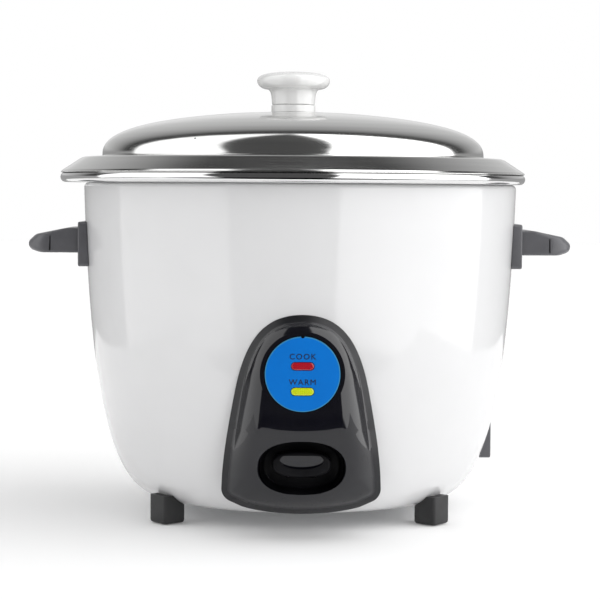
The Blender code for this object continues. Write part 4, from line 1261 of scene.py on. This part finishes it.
def make_knob(finish, steel):
    collar_r = (COLLAR_HIGH.x - COLLAR_LOW.x) / 2
    profile = rounded([(3.4, COLLAR_LOW.z), (collar_r, COLLAR_LOW.z, 0.3), (collar_r, COLLAR_HIGH.z, 0.35),
                       (3.4, COLLAR_HIGH.z)])
    collar = turned("knob_collar_fine", profile, (POT_X, 0.0), 160)
    hand_over(collar, "lid", ["knob_collar"], finish)
    neck = 13.7
    base = KNOB_LOW.z
    crown = bezier(((0, KNOB_TOP), (11, KNOB_TOP - 0.1), (KNOB_R - 0.2, KNOB_TOP - 0.6),
                    (KNOB_R, KNOB_TOP - 5.2)), 28)
    under = bezier((crown[-1], (KNOB_R, KNOB_TOP - 8.6), (KNOB_R - 3, KNOB_TOP - 10.4),
                    (neck + 3.2, KNOB_TOP - 10.6)), 16)
    stem = bezier((under[-1], (neck + 0.4, KNOB_TOP - 10.9), (neck - 0.2, KNOB_TOP - 13),
                   (neck - 0.5, base + 0.4)), 14)
    bore = [(3.0, base), (3.0, KNOB_TOP - 6.5), (0, KNOB_TOP - 6.5)]
    profile = crown + under[1:] + stem[1:] + [(neck - 0.9, base)] + bore
    knob = turned("lid_knob_fine", profile, (POT_X, 0.0), 160)
    hand_over(knob, "lid", ["lid_knob"], finish)
    low, high = cad("knob_screw")
    head_r = (high.x - low.x) / 2
    profile = rounded([(0, low.z), (head_r - 3, low.z, 4), (head_r, low.z + 1.4, 1), (head_r, low.z + 2.4, 0.2),
                       (2.2, low.z + 2.4, 0.2), (2.2, high.z, 0.4), (0, high.z)])
    screw = turned("knob_screw_fine", profile, (POT_X, 0.0), SMALL_STEPS)
    cut(screw, *cross_recess("knob_recess", (POT_X, 0, low.z), 1.5, 5.0))
    hand_over(screw, "lid", ["knob_screw"], steel)


# Heating plate and the sprung cup in its middle.

def make_heating_plate(finish):
    low, high = cad("heating_plate")
    edge = (high.x - low.x) / 2
    under = low.z + 5
    profile = rounded([(21, high.z, 0.4), (edge, high.z, 1.6), (edge, under + 1, 1), (edge - 4, under, 3),
                       (66, under, 4), (62, low.z, 4), (48, low.z, 4), (44, under, 4), (21, under, 0.8)],
                      closed=True)
    plate = turned("heating_plate_fine", profile)
    holes = []
    for number in (1, 2, 3):
        leg_low, leg_high = cad(f"plate_leg_{number}")
        middle = (leg_low + leg_high) / 2
        holes.append(rod(f"plate_bore_{number}", 2.0, "Z", (middle.x, middle.y), 60, 70, 32))
    cut(plate, *holes)
    return hand_over(plate, "base", ["heating_plate"], finish)


def make_sensor_cup(finish):
    low, high = cad("sensor_cup")
    radius = (high.x - low.x) / 2
    inside = radius - 1.1
    profile = rounded([(0, high.z - 0.25), (9, high.z - 0.25, 2), (10.5, high.z, 1), (radius, high.z, 1.8),
                       (radius, low.z, 0.3), (inside, low.z, 0.3), (inside, high.z - 1.4, 1.2),
                       (0, high.z - 1.4)])
    cup = turned("sensor_cup_fine", profile, steps=128)
    return hand_over(cup, "sensor", ["sensor_cup"], finish)


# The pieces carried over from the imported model, and their finishes.

def dress_carried_nodes(finishes):
    slots = {part["node"]: part["material_slot"] for part in frame["record"]["subparts"]}
    for name, item in frame["nodes"].items():
        if item.hide_render:
            continue
        item.data.materials.clear()
        item.data.materials.append(finishes[slots[name]])


STEEL = plated_finish("plated_steel", (0.56, 0.56, 0.55), 0.34)
BRASS = plated_finish("nickel_brass", (0.74, 0.68, 0.52), 0.26)
PLASTIC = moulded_finish("satin_dark_plastic", (0.085, 0.085, 0.093), 0.42, Coat_Weight=0.3,
                         Coat_Roughness=0.25)
RUBBER = moulded_finish("foot_plastic", (0.016, 0.016, 0.017), 0.5, 0.03)
GALVANISED = galvanised_finish()
PAINT = paint_finish()
ALUMINIUM = pot_finish()
MACHINED = plate_finish()
GLOSS_BLACK = gloss_finish("gloss_black", BLACK_COLOUR, under_gloss=0.1)
RIM_BLACK = moulded_finish("satin_black_rim", (0.009, 0.009, 0.011), 0.36, 0.006, Specular_IOR_Level=0.36)
POCKET_BLACK = moulded_finish("pocket_black", (0.002, 0.002, 0.003), 0.5, 0.006, Specular_IOR_Level=0.12)
GLOSS_WHITE = gloss_finish("gloss_white", (0.86, 0.86, 0.855), 0.06)
BLUE = disc_finish()
INK = moulded_finish("navy_ink", (0.0, 0.006, 0.035), 0.5, 0.004)
LENSES = {"cook": lens_finish("red_lens", (0.36, 0.0, 0.010)),
          "warm": lens_finish("yellow_lens", (0.52, 0.60, 0.002))}

make_camera()
make_studio()
make_floor()
make_shell(PAINT)
make_liner(GALVANISED)
make_base_plate(GALVANISED)
make_feet(RUBBER, STEEL)
make_handle("left", -1, PLASTIC)
make_handle("right", 1, PLASTIC)
make_panel(GLOSS_BLACK, RIM_BLACK, POCKET_BLACK)
make_disc(BLUE, INK)
make_lenses(LENSES)
make_paddle(GLOSS_BLACK, POCKET_BLACK)
make_inlet(PLASTIC, BRASS)
make_pot(ALUMINIUM, bead_finish())
make_level_marks(plated_finish("level_marks", (0.70, 0.70, 0.71), 0.4))
make_lid(lid_finish())
make_knob(GLOSS_WHITE, STEEL)
make_heating_plate(MACHINED)
make_sensor_cup(MACHINED)
dress_carried_nodes({
    "white_paint": PAINT, "galvanised_steel": GALVANISED, "polished_stainless": STEEL,
    "bright_aluminium": ALUMINIUM, "plated_steel": STEEL, "gloss_white_plastic": GLOSS_WHITE,
    "gloss_black_plastic": GLOSS_BLACK, "blue_indicator": BLUE, "red_lens": LENSES["cook"],
    "yellow_lens": LENSES["warm"], "lamp_board": board_finish(), "dark_plastic": PLASTIC,
    "foot_plastic": RUBBER, "ferrite": ferrite_finish(), "nickel_brass": BRASS,
    "red_wire": sleeve_finish("red_sleeve", (0.45, 0.012, 0.012)),
    "white_wire": sleeve_finish("white_sleeve", (0.72, 0.72, 0.70)),
})
